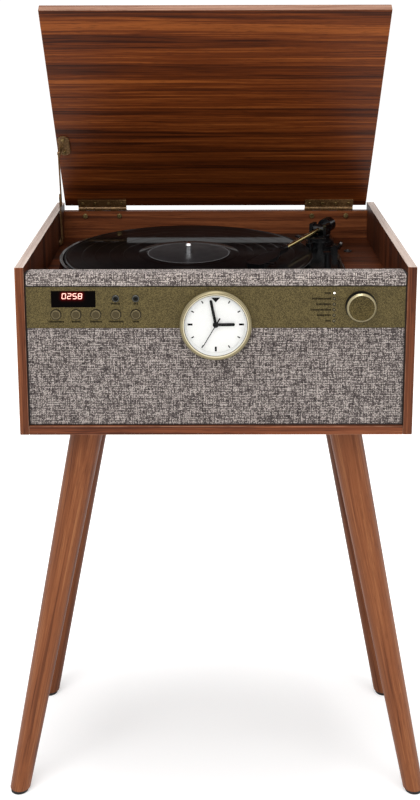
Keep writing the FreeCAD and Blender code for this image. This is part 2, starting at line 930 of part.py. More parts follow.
def sockets_and_lights():
    """Two jacks and a column of small lights, each reaching back to its board."""
    back = "cloth_thickness + control_depth"
    jack_profile = [
        ("jack_bore", "-free_gap * 3"),
        ("jack_ring - free_gap", "-free_gap * 3"),
        ("jack_ring", "-free_gap * 2"),
        ("jack_ring", "0"),
        ("jack_neck", "0"),
        ("jack_neck", "cloth_thickness"),
        ("jack_ring", "cloth_thickness"),
        ("jack_ring", back),
        ("0", back),
        ("0", f"{back} - cloth_thickness"),
        ("jack_bore", f"{back} - cloth_thickness"),
    ]
    jacks = []
    for i in range(JACKS):
        jacks.append(turned("jack", jack_profile, "y", (jack_x(i), "cloth_front", "jack_z")))
    keep(group("jack_sockets", jacks), "jack_sockets")
    light_profile = [
        ("0", "-free_gap * 2"),
        ("light_radius - free_gap", "-free_gap * 2"),
        ("light_radius", "-free_gap"),
        ("light_radius", back),
        ("0", back),
    ]
    lights = []
    for i in range(LIGHTS):
        at = ("light_offset", "cloth_front", light_height(i))
        lights.append(turned("light", light_profile, "y", at))
    keep(group("indicator_lights", lights), "indicator_lights")


def push_buttons():
    """Round caps that pass through the strip, each with a flange that keeps it in."""
    profile = [
        ("0", "-button_proud"),
        ("button_radius - free_gap * 2", "-button_proud"),
        ("button_radius", "-button_proud + free_gap * 2"),
        ("button_radius", "cloth_thickness + free_gap"),
        ("button_flange", "cloth_thickness + free_gap"),
        ("button_flange", "flange_back"),
        ("0", "flange_back"),
    ]
    for i in range(BUTTONS):
        name = f"button_{i + 1}"
        keep(turned(name, profile, "y", (button_x(i), "cloth_front", "button_z")), name)


def volume_knob():
    """A bevelled knob on the shaft of a rotary control."""
    front = "-knob_gap - knob_height"
    profile = [
        ("0", front),
        ("knob_radius - knob_bevel", front),
        ("knob_radius", f"{front} + knob_bevel"),
        ("knob_radius", "-knob_gap"),
        ("knob_shaft", "-knob_gap"),
        ("knob_shaft", "cloth_thickness + control_depth - free_gap"),
        ("0", "cloth_thickness + control_depth - free_gap"),
    ]
    at = ("knob_offset", "cloth_front", "knob_z")
    keep(turned("control_knob", profile, "y", at), "control_knob")


def boards():
    """Control boards on posts behind the strip, and the main board on posts on the floor."""
    members = []
    for name, low, high in (
        ("left_board", "left_board_low", "left_board_high"),
        ("right_board", "right_board_low", "right_board_high"),
    ):
        low_inner = f"{low} + free_gap"
        high_inner = f"{high} - free_gap"
        members.append(
            box(
                name,
                (low_inner, "board_front", "board_low + free_gap"),
                (high_inner, "board_front + board_thickness", "board_high - free_gap"),
            )
        )
        inset = "(post_radius + free_gap)"
        for x in (f"{low} + {inset}", f"{high} - {inset}"):
            for z in ("board_low + control_margin", "board_high - control_margin"):
                at = (x, "baffle_front", z)
                members.append(rod(name + "_post", "post_radius", "control_depth", at, "y"))
    members.append(
        box(
            "display_module",
            (
                "-window_offset - window_width / 2 + control_margin",
                "cloth_front + window_thickness",
                "window_z - window_height / 2 + free_gap",
            ),
            (
                "-window_offset + window_width / 2 - control_margin",
                "board_front",
                "window_z + window_height / 2 - free_gap",
            ),
        )
    )
    for i in range(BUTTONS):
        members.append(
            box(
                "push_switch",
                (
                    f"{button_x(i)} - switch_side / 2",
                    "cloth_front + flange_back + button_travel + free_gap",
                    "button_z - switch_side / 2",
                ),
                (f"{button_x(i)} + switch_side / 2", "board_front", "button_z + switch_side / 2"),
            )
        )
    encoder = box(
        "encoder_body",
        ("knob_offset - encoder_side / 2", "baffle_front", "knob_z - encoder_side / 2"),
        ("knob_offset + encoder_side / 2", "board_front", "knob_z + encoder_side / 2"),
    )
    encoder_bore = rod(
        "encoder_bore",
        "knob_shaft + running_gap",
        "control_depth",
        ("knob_offset", "baffle_front", "knob_z"),
        "y",
    )
    members.append(cut("encoder", encoder, [encoder_bore]))
    board_z = "floor_top + main_board_lift"
    members.append(
        block(
            "main_board",
            ("0", "0", board_z),
            ("main_board_width", "main_board_depth", "board_thickness"),
        )
    )
    for sx in SIDES.values():
        for sy in ENDS.values():
            x = f"{sx} * (main_board_width / 2 - control_margin)"
            y = f"{sy} * (main_board_depth / 2 - control_margin)"
            at = (x, y, "floor_top")
            members.append(rod("main_post", "post_radius", "main_board_lift", at))
        at = (f"{sx} * main_board_width / 4", "0", f"{board_z} + board_thickness")
        members.append(rod("capacitor", "capacitor_radius", "capacitor_height", at))
    members.append(
        block(
            "heat_sink",
            ("0", "main_board_depth / 2 - 2 * control_margin", f"{board_z} + board_thickness"),
            ("main_board_width / 2", "2 * control_margin", "heat_sink_height"),
        )
    )
    keep(group("circuit_boards", members), "circuit_boards")


def speakers():
    """Two drivers on the back of the board: a basket, a cone and a magnet each."""
    basket = [
        ("speaker_opening", "0"),
        ("speaker_flange", "0"),
        ("speaker_flange", "speaker_flange_thickness"),
        ("speaker_opening + basket_wall", "speaker_flange_thickness"),
        ("basket_radius", "basket_depth - basket_wall"),
        ("basket_radius", "basket_depth"),
        ("hub_radius", "basket_depth"),
        ("hub_radius", "basket_depth - basket_wall"),
        ("basket_radius - basket_wall", "basket_depth - basket_wall"),
        ("speaker_opening", "speaker_flange_thickness"),
    ]
    cone = [
        ("speaker_opening", "cone_wall / 2"),
        ("hub_radius", "cone_depth"),
        ("0", "cone_depth"),
        ("0", "cone_depth + cone_wall"),
        ("hub_radius", "cone_depth + cone_wall"),
        ("speaker_opening", "cone_wall * 3 / 2"),
    ]
    magnet = [
        ("0", "basket_depth"),
        ("basket_radius - cone_wall", "basket_depth"),
        ("basket_radius - cone_wall", "basket_depth + magnet_depth"),
        ("0", "basket_depth + magnet_depth"),
    ]
    members = []
    for side, sx in SIDES.items():
        at = (f"{sx} * speaker_offset", "baffle_back", "speaker_z")
        for piece, profile in (("basket", basket), ("cone", cone), ("magnet", magnet)):
            members.append(turned(f"speaker_{piece}_{side}", profile, "y", at))
    keep(group("speakers", members), "speakers")


def rear_sockets():
    """A plate over the opening in the back, with two phono sockets and a round power inlet."""
    half_width = "socket_plate_width / 2"
    half_height = "socket_plate_height / 2"
    flat = box(
        "socket_flat",
        (f"socket_x - {half_width}", "back_edge", f"socket_z - {half_height}"),
        (f"socket_x + {half_width}", "socket_back", f"socket_z + {half_height}"),
    )
    members = []
    holes = []
    kinds = (
        ("phono", "socket_radius", "socket_bore", -1),
        ("phono", "socket_radius", "socket_bore", 0),
        ("inlet", "inlet_radius", "inlet_bore", 1),
    )
    for name, radius, bore, step in kinds:
        at = (f"socket_x + {step} * socket_pitch", "socket_back", "socket_z")
        profile = [
            (bore, "socket_length"),
            (radius, "socket_length"),
            (radius, "-socket_sink"),
            ("0", "-socket_sink"),
            ("0", "-socket_sink + socket_floor"),
            (bore, "-socket_sink + socket_floor"),
        ]
        members.append(turned(f"{name}_socket", profile, "y", at))
        hole_at = (at[0], "back_edge", at[2])
        holes.append(rod(f"{name}_hole", f"{radius} + slip_gap", "socket_plate_thickness", hole_at, "y"))
    members.append(cut("socket_plate", flat, socket_shanks + holes))
    keep(group("rear_socket_plate", members), "rear_socket_plate")


# Clock


def clock():
    """A bezel with a sleeve through the front, a glass, a dial and a movement behind it."""
    at = ("0", "cloth_front", "clock_z")
    bezel = [
        ("dial_radius", "-bezel_height"),
        ("clock_radius - bezel_round", "-bezel_height"),
        ("clock_radius", "-bezel_height + bezel_round"),
        ("clock_radius", "0"),
        ("sleeve_radius", "0"),
        ("sleeve_radius", "sleeve_depth"),
        ("bezel_bore", "sleeve_depth"),
        ("bezel_bore", "glass_front"),
        ("dial_radius", "glass_front"),
    ]
    keep(turned("clock_bezel", bezel, "y", at), "clock_bezel")
    glass = [
        ("0", "glass_front"),
        ("disc_radius", "glass_front"),
        ("disc_radius", "glass_front + glass_thickness"),
        ("0", "glass_front + glass_thickness"),
    ]
    keep(turned("clock_glass", glass, "y", at), "clock_glass")
    bore = "hour_arbor + running_gap"
    dial = [
        (bore, "0"),
        ("disc_radius", "0"),
        ("disc_radius", "dial_thickness"),
        (bore, "dial_thickness"),
    ]
    keep(turned("clock_dial", dial, "y", at), "clock_dial")
    bore_end = "arbor_depth + 2 * hand_step + free_gap"
    movement = [
        (bore, "dial_thickness"),
        ("movement_radius", "dial_thickness"),
        ("movement_radius", "dial_thickness + movement_depth"),
        ("0", "dial_thickness + movement_depth"),
        ("0", bore_end),
        (bore, bore_end),
    ]
    keep(turned("clock_movement", movement, "y", at), "clock_movement")


def clock_hand(name, bore, arbor, back, depth, blade, angle):
    """A hand on its own hollow arbor, one arbor turning inside the next."""
    front = f"{back} - hand_thickness"
    boss = f"{arbor} + arbor_wall"
    profile = [
        (bore, front),
        (boss, front),
        (boss, back),
        (arbor, back),
        (arbor, depth),
        (bore, depth),
    ]
    hub = turned(name + "_arbor", profile, "y")
    outline = plate(name + "_blade", "XZ_Plane", [(polygon, blade)], "hand_thickness", ("0", back, "0"))
    if bore != "0":
        tool = rod(name + "_bore", bore, "2 * hand_thickness", ("0", front, "0"), "y")
        outline = cut(name + "_bored", outline, [tool])
    members = [hub, outline]
    at = ("0", "cloth_front", "clock_z")
    keep(fuse(name, members, at, (0, 1, 0), angle), name)


def tapered_blade(length, width):
    """The outline of a hand that widens from its boss and comes to a narrow tip."""
    half = f"{width} / 2"
    return [
        (f"-{half} / 2", "0"),
        (f"{half} / 2", "0"),
        (half, f"{length} * 2 / 3"),
        (f"{half} / 4", length),
        (f"-{half} / 4", length),
        (f"-{half}", f"{length} * 2 / 3"),
    ]


def clock_hands():
    """Hour, minute and second hands, from the dial outwards."""
    hour_blade = tapered_blade("hour_length", "hour_width")
    clock_hand(
        "hour_hand",
        "minute_arbor + running_gap",
        "hour_arbor",
        "hour_back",
        "arbor_depth",
        hour_blade,
        "hour_angle",
    )
    minute_blade = tapered_blade("minute_length", "minute_width")
    clock_hand(
        "minute_hand",
        "arbor_radius + running_gap",
        "minute_arbor",
        "minute_back",
        "arbor_depth + hand_step",
        minute_blade,
        "minute_angle",
    )
    half = "second_width / 2"
    second_blade = [
        (f"-{half}", "-second_tail"),
        (half, "-second_tail"),
        (half, "second_length"),
        (f"-{half}", "second_length"),
    ]
    clock_hand(
        "second_hand",
        "0",
        "arbor_radius",
        "second_back",
        "arbor_depth + 2 * hand_step",
        second_blade,
        "second_angle",
    )


# Turntable


def chassis():
    """The moulded base: round at the left with a lip round the record, square at the right, with bearing and post."""
    disc = rod(
        "chassis_disc",
        "chassis_radius",
        "chassis_height",
        ("-platter_offset", "platter_back", "deck_top"),
    )
    square = box(
        "chassis_square",
        ("-platter_offset", "chassis_front", "deck_top"),
        ("chassis_right", "chassis_back", "chassis_top"),
    )
    limits = box(
        "chassis_limits",
        ("-platter_offset - chassis_radius", "chassis_front", "deck_top"),
        ("chassis_right", "chassis_back", "chassis_top"),
    )
    outline = common("chassis_outline", fuse("chassis_union", [disc, square]), limits)
    doc.recompute()
    rounded = doc.addObject("Part::Fillet", "chassis_rounded")
    rounded.Base = outline
    top = measure("chassis_top")
    radius = measure("chassis_round")
    upper = []
    for number, edge in enumerate(outline.Shape.Edges, start=1):
        if all(abs(vertex.Z - top) < 1e-6 for vertex in edge.Vertexes):
            upper.append((number, radius, radius))
    rounded.Edges = upper
    boss = rod(
        "bearing_boss",
        "bearing_radius",
        "bearing_depth",
        ("-platter_offset", "platter_back", "bearing_low"),
    )
    post = box(
        "lever_post",
        ("lever_offset", "lever_back - lever_post_depth / 2", "chassis_top - chassis_round"),
        (
            "lever_offset + lever_post_width",
            "lever_back + lever_post_depth / 2",
            "chassis_top + lever_post_height",
        ),
    )
    bores = [
        rod(
            "spindle_bore",
            "spindle_radius + running_gap",
            "bearing_depth + chassis_height",
            ("-platter_offset", "platter_back", "bearing_low + bearing_floor"),
        ),
        rod("shaft_bore", "motor_hole", "chassis_height", ("motor_x", "motor_y", "deck_top")),
        rod(
            "lever_bore",
            "lever_pin + running_gap",
            "lever_post_width",
            ("lever_offset", "lever_back", "lever_z"),
            "x",
        ),
        rod(
            "speed_bore",
            "speed_shaft + running_gap",
            "chassis_height",
            ("speed_offset", "-speed_forward", "deck_top"),
        ),
    ]
    lip_base = "chassis_top - 2 * chassis_round / 3"
    lip_run = "lip_height + 2 * chassis_round / 3"
    lip_at = ("-platter_offset", "platter_back", lip_base)
    lip_ring = cut(
        "lip_ring",
        rod("lip_outer", "chassis_radius - chassis_round / 3", lip_run, lip_at),
        [rod("lip_inner", "chassis_radius - chassis_round / 3 - lip_wall", lip_run, lip_at)],
    )
    lip_limits = box(
        "lip_limits",
        ("-platter_offset - chassis_radius", "chassis_front + chassis_round", lip_base),
        ("-platter_offset", "chassis_back - chassis_round", "chassis_top + lip_height"),
    )
    lip = common("chassis_lip", lip_ring, lip_limits)
    moulding = fuse("chassis_moulding", [rounded, boss, post, lip])
    keep(cut("turntable_chassis", moulding, bores), "turntable_chassis")


def turning_parts():
    """The platter on its spindle, the record on the platter, and the belt drive under it."""
    centre = ("-platter_offset", "platter_back", "platter_top")
    hub_low = "-platter_height + 2 * free_gap"
    platter = [
        ("spindle_radius", "0"),
        ("platter_radius", "0"),
        ("platter_radius", "-platter_height"),
        ("platter_radius - platter_rim", "-platter_height"),
        ("platter_radius - platter_rim", "-platter_web"),
        ("belt_rim", "-platter_web"),
        ("belt_rim", hub_low),
        ("belt_rim - belt_rim_wall", hub_low),
        ("belt_rim - belt_rim_wall", "-platter_web"),
        ("hub_radius", "-platter_web"),
        ("hub_radius", hub_low),
        ("spindle_radius", hub_low),
    ]
    keep(turned("platter", platter, at=centre), "platter")
    bead = "groove_step"
    record = [
        ("record_hole", "0"),
        (f"record_radius - {bead}", "0"),
        ("record_radius", "record_thickness / 2"),
        (f"record_radius - {bead}", "record_thickness"),
        (f"record_radius - 6 * {bead}", "record_thickness - groove_step"),
        (f"label_radius + 2 * {bead}", "record_thickness - groove_step"),
        ("label_radius", "record_thickness"),
        ("record_hole", "record_thickness"),
    ]
    keep(turned("record", record, at=centre), "record")
    tip = "record_thickness + spindle_rise"
    spindle_low = "bearing_low + bearing_floor + free_gap - platter_top"
    spindle = [
        ("0", spindle_low),
        ("spindle_radius", spindle_low),
        ("spindle_radius", f"{tip} - spindle_radius"),
        ("spindle_radius * 3 / 4", f"{tip} - spindle_radius / 3"),
        ("spindle_radius / 3", tip),
        ("0", tip),
    ]
    keep(turned("spindle", spindle, at=centre), "spindle")


def belt_loop(sketch, gap):
    """A closed line round the platter's rim and the pulley: two arcs joined by their common tangents."""
    reach = measure("motor_reach")
    radii = [f"belt_rim + {gap}", f"pulley_radius + {gap}"]
    lean = math.acos((measure(radii[0]) - measure(radii[1])) / reach)
    spans = [(lean, 2 * math.pi - lean), (-lean, lean)]
    arcs = []
    for centre, radius, span in zip(("0", "motor_reach"), radii, spans):
        middle = Vector(measure(centre), 0, 0)
        ring = Part.Circle(middle, Vector(0, 0, 1), measure(radius))
        arc = sketch.addGeometry(Part.ArcOfCircle(ring, *span), False)
        pin_point(sketch, arc, 3, (centre, "0"))
        rule = Sketcher.Constraint("Radius", arc, measure(radius))
        sketch.setExpression(f"Constraints[{sketch.addConstraint(rule)}]", formula(radius))
        arcs.append(arc)
    rim, nose = arcs
    for rim_end, nose_end in ((1, 2), (2, 1)):
        ends = [sketch.getPoint(rim, rim_end), sketch.getPoint(nose, nose_end)]
        run = sketch.addGeometry(Part.LineSegment(*ends), False)
        sketch.addConstraint(Sketcher.Constraint("Tangent", run, 1, rim, rim_end))
        sketch.addConstraint(Sketcher.Constraint("Tangent", run, 2, nose, nose_end))


def belt_drive():
    """A motor under the chassis, its pulley, and the flat belt round the pulley and the platter's rim."""
    motor_at = ("motor_x", "motor_y", "deck_top")
    can = [
        ("motor_shaft + running_gap", "0"),
        ("motor_radius", "0"),
        ("motor_radius", "-motor_depth"),
        ("0", "-motor_depth"),
        ("0", "-motor_depth + bearing_floor"),
        ("motor_shaft + running_gap", "-motor_depth + bearing_floor"),
    ]
    keep(turned("platter_motor", can, at=motor_at), "platter_motor")
    pulley_low = "belt_z - deck_top - free_gap"
    shaft_low = "-motor_depth + bearing_floor + free_gap"
    pulley = [
        ("0", shaft_low),
        ("motor_shaft", shaft_low),
        ("motor_shaft", pulley_low),
        ("pulley_radius", pulley_low),
        ("pulley_radius", f"{pulley_low} + pulley_height"),
        ("0", f"{pulley_low} + pulley_height"),
    ]
    keep(turned("motor_pulley", pulley, at=motor_at), "motor_pulley")
    loops = [(belt_loop, "free_gap + belt_thickness"), (belt_loop, "free_gap")]
    at = ("-platter_offset", "platter_back", "belt_z")
    belt = plate("drive_belt", "XY_Plane", loops, "belt_height", at, (0, 0, 1), "motor_bearing")
    keep(belt, "drive_belt")


# Tonearm


def tonearm_base():
    """The pedestal that the arm turns on, with the guide for the cueing lift beside it."""
    height = "base_top - chassis_top"
    pedestal = rod("pedestal", "base_radius", f"({height}) * 2 / 3", ORIGIN)
    neck = rod("pedestal_neck", "yoke_radius", height, ORIGIN)
    foot = box(
        "guide_foot",
        ("0", "-guide_foot_width / 2", "0"),
        ("lift_radius", "guide_foot_width / 2", "guide_foot_height"),
    )
    arm = group("guide_arm", [foot], axis=(0, 0, 1), angle="lift_arc / 2")
    guide = rod("lift_guide", "guide_radius", "guide_height", ("guide_x", "guide_y", "0"))
    shaft_bore = rod(
        "yoke_bore",
        "yoke_shaft + running_gap",
        "yoke_shaft_length + free_gap",
        ("0", "0", f"{height} - yoke_shaft_length - free_gap"),
    )
    guide_bore = rod(
        "lift_bore",
        "lift_post + running_gap",
        "guide_height",
        ("guide_x", "guide_y", "0"),
    )
    moulding = fuse("base_moulding", [pedestal, neck, arm, guide])
    base = cut(
        "tonearm_base",
        moulding,
        [shaft_bore, guide_bore],
        ("pivot_offset", "pivot_back", "chassis_top"),
        (0, 0, 1),
        "lift_turn",
    )
    keep(base, "tonearm_base")


PIVOT = ("pivot_offset", "pivot_back", "tube_z")
ARM_TURN = {"at": PIVOT, "axis": (0, 0, 1), "angle": "-arm_angle"}


def tonearm():
    """A yoke that turns on the pedestal, and the arm that tips in it; the arm points along its own -Y."""
    low = "-yoke_drop - yoke_floor"
    floor = rod("yoke_floor_disc", "yoke_radius", "yoke_floor", ("0", "0", low))
    shaft_at = ("0", "0", f"{low} - yoke_shaft_length")
    shaft = rod("yoke_shaft_rod", "yoke_shaft", "yoke_shaft_length", shaft_at)
    inner = "barrel_half + free_gap"
    outer = f"{inner} + cheek_thickness"
    members = [floor, shaft]
    for sx in SIDES.values():
        middle = f"{sx} * (({inner}) + cheek_thickness / 2)"
        members.append(
            block(
                "yoke_cheek",
                (middle, "0", "-yoke_drop"),
                ("cheek_thickness", "cheek_length", "yoke_drop + cheek_rise"),
            )
        )
    pin_bore = rod(
        "yoke_pin_bore",
        "pivot_pin + running_gap",
        f"2 * ({outer})",
        (f"-1 * ({outer})", "0", "0"),
        "x",
    )
    yoke = cut("tonearm_yoke", fuse("yoke_moulding", members), [pin_bore], **ARM_TURN)
    keep(yoke, "tonearm_yoke")

    tube = [
        ("tube_radius - tube_wall", "-tube_reach"),
        ("tube_radius", "-tube_reach"),
        ("tube_radius", "weight_start"),
        ("tube_radius - tube_wall", "weight_start"),
    ]
    keep(turned("tonearm_tube", tube, "y", **ARM_TURN), "tonearm_tube")

    barrel = [
        ("0", "-barrel_half - pivot_pin_reach"),
        ("pivot_pin", "-barrel_half - pivot_pin_reach"),
        ("pivot_pin", "-barrel_half"),
        ("barrel_radius", "-barrel_half"),
        ("barrel_radius", "barrel_half"),
        ("pivot_pin", "barrel_half"),
        ("pivot_pin", "barrel_half + pivot_pin_reach"),
        ("0", "barrel_half + pivot_pin_reach"),
    ]
    cross = turned("carrier_barrel", barrel, "x")
    neck = rod("carrier_neck", "barrel_radius * 3 / 4", "weight_start + free_gap", ORIGIN, "y")
    weight = rod("carrier_weight", "weight_radius", "weight_length", ("0", "weight_start", "0"), "y")
    bore_at = ("0", "-tube_reach", "0")
    tube_bore = rod("carrier_bore", "tube_radius", "tube_reach + weight_start", bore_at, "y")
    carrier = cut("tonearm_carrier", fuse("carrier_body", [cross, neck, weight]), [tube_bore], **ARM_TURN)
    keep(carrier, "tonearm_carrier")


def headshell():
    """A tapered head on the end of the tube, with a finger lift, and the cartridge and stylus under it."""
    start = "-tube_reach"
    end = "-tube_reach - head_length"
    neck_end = f"{start} - head_neck_length"
    wide = f"{neck_end} - head_neck_length"
    nose = f"{end} + head_nose / 2"
    outline = [
        ("-head_neck / 2", start),
        ("-head_neck / 2", neck_end),
        ("-head_width / 2", wide),
        ("-head_width / 2", nose),
        ("-head_width / 2 + head_nose / 3", end),
        ("head_width / 2 - head_nose / 3", end),
        ("head_width / 2", nose),
        ("head_width / 2", wide),
        ("head_neck / 2", neck_end),
        ("head_neck / 2", start),
    ]
    shell_at = ("0", "0", "-head_thickness / 2")
    shell = plate("head_shell", "XY_Plane", [(polygon, outline)], "head_thickness", shell_at)
    collar_at = ("0", f"{start} - collar_length", "0")
    collar = rod("head_collar", "collar_radius", "2 * collar_length", collar_at, "y")
    finger = box(
        "head_finger",
        ("head_width / 2 - finger_width", f"{end} + head_nose", "head_thickness / 2 - finger_thickness"),
        ("head_width / 2 + finger_reach", f"{end} + head_nose + finger_width", "head_thickness / 2"),
    )
    tube_bore = rod("head_bore", "tube_radius", "collar_length", ("0", start, "0"), "y")
    head = cut("headshell", fuse("head_moulding", [shell, collar, finger]), [tube_bore], **ARM_TURN)
    keep(head, "headshell")

    body = block(
        "cartridge_body",
        ("0", "-arm_reach + cartridge_length / 4", "-head_thickness / 2 - cartridge_height"),
        ("cartridge_width", "cartridge_length", "cartridge_height"),
    )
    needle_run = "tube_z - record_top - free_gap - head_thickness / 2 - cartridge_height"
    needle = doc.addObject("Part::Cone", "stylus")
    bind(needle, Radius1="stylus_tip", Radius2="stylus_radius", Height=needle_run)
    needle_low = "-head_thickness / 2 - cartridge_height - (" + needle_run + ")"
    place(needle, ("0", "-arm_reach", needle_low))
    keep(fuse("cartridge", [body, needle], **ARM_TURN), "cartridge")


def arm_rest():
    """A post with a low saddle that the arm parks over, and a tall prong on its outer side."""
    post = rod("rest_post_rod", "rest_post", "saddle_top - chassis_top", ORIGIN)
    saddle = block(
        "rest_saddle_block",
        ("0", "0", "saddle_top - chassis_top - rest_saddle"),
        ("rest_width", "rest_depth", "rest_saddle"),
    )
    prong = box(
        "rest_prong_block",
        ("tube_radius + rest_gap", "-rest_depth / 2", "saddle_top - chassis_top - rest_saddle"),
        (
            "tube_radius + rest_gap + rest_prong",
            "rest_depth / 2",
            "saddle_top - chassis_top + rest_prong_rise",
        ),
    )
    at = ("pivot_offset", "rest_y", "chassis_top")
    keep(fuse("arm_rest", [post, saddle, prong], at), "arm_rest")


def cueing():
    """The lift that raises the arm on a curved pad, the lever that works it, and the speed lever."""
    outer = doc.addObject("Part::Cylinder", "lift_outer")
    bind(outer, Radius="lift_radius + lift_width / 2", Height="lift_thickness", Angle="lift_arc")
    inner = rod("lift_inner", "lift_radius - lift_width / 2", "lift_thickness", ORIGIN)
    pad = cut("lift_pad", outer, [inner])
    post_at = ("guide_x", "guide_y", "-lift_post_length")
    post = rod("lift_post_rod", "lift_post", "lift_post_length", post_at)
    at = ("pivot_offset", "pivot_back", "lift_top - lift_thickness")
    keep(fuse("cue_lift", [pad, post], at, (0, 0, 1), "lift_turn"), "cue_lift")

    arm = bar("lever_arm", "lever_length", "lever_width", "lever_thickness", "free_gap")
    tip = rod("lever_tip_rod", "lever_tip", "lever_thickness", ("free_gap", "lever_length", "0"), "x")
    pin_at = ("-lever_post_width", "0", "0")
    pin = rod("lever_pin_rod", "lever_pin", "lever_post_width + free_gap", pin_at, "x")
    at = ("lever_side", "lever_back", "lever_z")
    keep(fuse("cue_lever", [arm, tip, pin], at, (1, 0, 0), "lever_angle"), "cue_lever")

    dome = [
        ("0", "-speed_shaft_length"),
        ("speed_shaft", "-speed_shaft_length"),
        ("speed_shaft", "free_gap"),
        ("speed_radius", "free_gap"),
        ("speed_radius", "speed_height * 3 / 4"),
        ("speed_radius * 3 / 4", "speed_height"),
        ("0", "speed_height"),
    ]
    cap = turned("speed_cap", dome)
    pointer = box(
        "speed_pointer",
        ("-speed_width / 2", "-speed_reach", "free_gap"),
        ("speed_width / 2", "0", "speed_height / 2"),
    )
    at = ("speed_offset", "-speed_forward", "chassis_top")
    keep(fuse("speed_lever", [cap, pointer], at), "speed_lever")


# Lid, hinges and stay

HINGE = ("0", "hinge_y", "hinge_z")
LID_TURN = {"at": HINGE, "axis": (1, 0, 0), "angle": "-lid_angle"}


def knuckles(sx, first):
    """Where every second knuckle of a hinge starts and ends, from the one named."""
    for i in range(first, KNUCKLES, 2):
        low = f"{sx} * hinge_offset - hinge_width / 2 + {i} * knuckle_pitch + knuckle_gap / 2"
        yield low, f"({low}) + knuckle_pitch - knuckle_gap"


def hinge_pin_bore(name, sx):
    """The bore through a hinge's knuckles."""
    return rod(
        name,
        "hinge_pin + running_gap",
        "hinge_width + 2 * knuckle_gap",
        (f"{sx} * hinge_offset - hinge_width / 2 - knuckle_gap", "0", "0"),
        "x",
    )


def lid():
    """The lid between the side panels, with a leaf of each hinge and the stay's plate on its inner face."""
    shanks = []
    screws = []
    leaves = []
    for side, sx in SIDES.items():
        middle = f"{sx} * hinge_offset"
        members = [
            box(
                "lid_leaf_flat",
                (f"{middle} - hinge_width / 2", "leaf_front", "leaf_low"),
                (f"{middle} + hinge_width / 2", "leaf_stop", "lid_rise"),
            )
        ]
        for low, high in knuckles(sx, 1):
            run = f"{high} - ({low})"
            members.append(rod("lid_knuckle", "knuckle_radius", run, (low, "0", "0"), "x"))
            members.append(box("lid_tab", (low, "leaf_stop", "leaf_low"), (high, "0", "lid_rise")))
        holes = []
        for spread in ("leaf_screw_spread", "leaf_screw_inner"):
            for across in ("-1", "1"):
                at = (f"{middle} + {across} * {spread}", "-leaf_screw_reach", "leaf_low")
                made, shank = screw("leaf_screw", at, "z", small=True)
                screws.append(made)
                holes.append(shank)
        shanks += holes
        bored = holes + [hinge_pin_bore("lid_pin_bore", sx)]
        leaves.append(cut(f"lid_leaf_{side}", fuse(f"lid_leaf_{side}_blank", members), bored))
    keep(group("hinge_lid_leaves", leaves, **LID_TURN), "hinge_lid_leaves")

    plate_low = "-lid_half + lid_plate_inset"
    plate_middle = "(-lid_half + lid_plate_inset + lid_plate_width / 2)"
    plate_y = "(ear_y - lid_plate_shift)"
    plate_run = "(lid_plate_length - lid_plate_width) / 2"
    flat = box(
        "lid_plate_flat",
        (plate_low, f"{plate_y} - {plate_run}", "lid_rise - stay_thickness"),
        (f"{plate_low} + lid_plate_width", f"{plate_y} + {plate_run}", "lid_rise"),
    )
    ends = [
        rod(
            "lid_plate_end",
            "lid_plate_width / 2",
            "stay_thickness",
            (plate_middle, f"{plate_y} + {along} * {plate_run}", "lid_rise - stay_thickness"),
        )
        for along in ("-1", "1")
    ]
    ear = box(
        "lid_plate_ear",
        ("ear_x", "ear_y - ear_width / 2", "ear_z"),
        ("ear_x + stay_thickness", "ear_y + ear_width / 2", "lid_rise"),
    )
    eye = rod("lid_plate_eye", "ear_width / 2", "stay_thickness", ("ear_x", "ear_y", "ear_z"), "x")
    plate_holes = []
    for along in ("-1", "1"):
        at = (
            plate_middle,
            f"{plate_y} + {along} * lid_plate_screw",
            "lid_rise - stay_thickness",
        )
        made, shank = screw("plate_screw", at, "z", small=True)
        screws.append(made)
        plate_holes.append(shank)
    bracket = cut("stay_lid_bracket", fuse("lid_plate", [flat, ear, eye] + ends), plate_holes, **LID_TURN)
    keep(bracket, "stay_lid_bracket")
    keep(group("lid_screws", screws, **LID_TURN), "lid_screws")

    blank = box(
        "lid_blank",
        ("-lid_half", "-lid_setback - lid_length", "lid_rise"),
        ("lid_half", "-lid_setback", "lid_rise + lid_thickness"),
    )
    keep(cut("lid_panel", blank, shanks + plate_holes, **LID_TURN), "lid_panel")


def cabinet_leaves():
    """The fixed leaf of each hinge, bent over the back panel's top and down behind it, and the pins."""
    members = []
    seat = "back_top - hinge_z"
    rear = "back_edge - hinge_y"
    for side, sx in SIDES.items():
        low_x = f"{sx} * hinge_offset - hinge_width / 2"
        high_x = f"{sx} * hinge_offset + hinge_width / 2"
        strip = box(
            "cabinet_leaf_strip",
            (low_x, "knuckle_radius + leaf_clear", seat),
            (high_x, f"{rear} + leaf_thickness", f"{seat} + leaf_thickness"),
        )
        flange = box(
            "cabinet_leaf_flange",
            (low_x, rear, f"{seat} - flange_height"),
            (high_x, f"{rear} + leaf_thickness", f"{seat} + leaf_thickness"),
        )
        pieces = [strip, flange]
        for low, high in knuckles(sx, 0):
            run = f"{high} - ({low})"
            pieces.append(rod("cabinet_knuckle", "knuckle_radius", run, (low, "0", "0"), "x"))
            pieces.append(
                box(
                    "cabinet_tab",
                    (low, "0", seat),
                    (high, "knuckle_radius + leaf_clear", f"{seat} + leaf_thickness"),
                )
            )
        blank = fuse(f"cabinet_leaf_{side}_blank", pieces)
        bored = cut(f"cabinet_leaf_{side}_bored", blank, [hinge_pin_bore("cabinet_pin_bore", sx)], HINGE)
        members.append(cut(f"cabinet_leaf_{side}", bored, hinge_shanks))
        pin_at = (low_x, "hinge_y", "hinge_z")
        members.append(rod(f"hinge_pin_{side}", "hinge_pin", "hinge_width", pin_at, "x"))
    keep(group("hinge_cabinet_leaves", members), "hinge_cabinet_leaves")


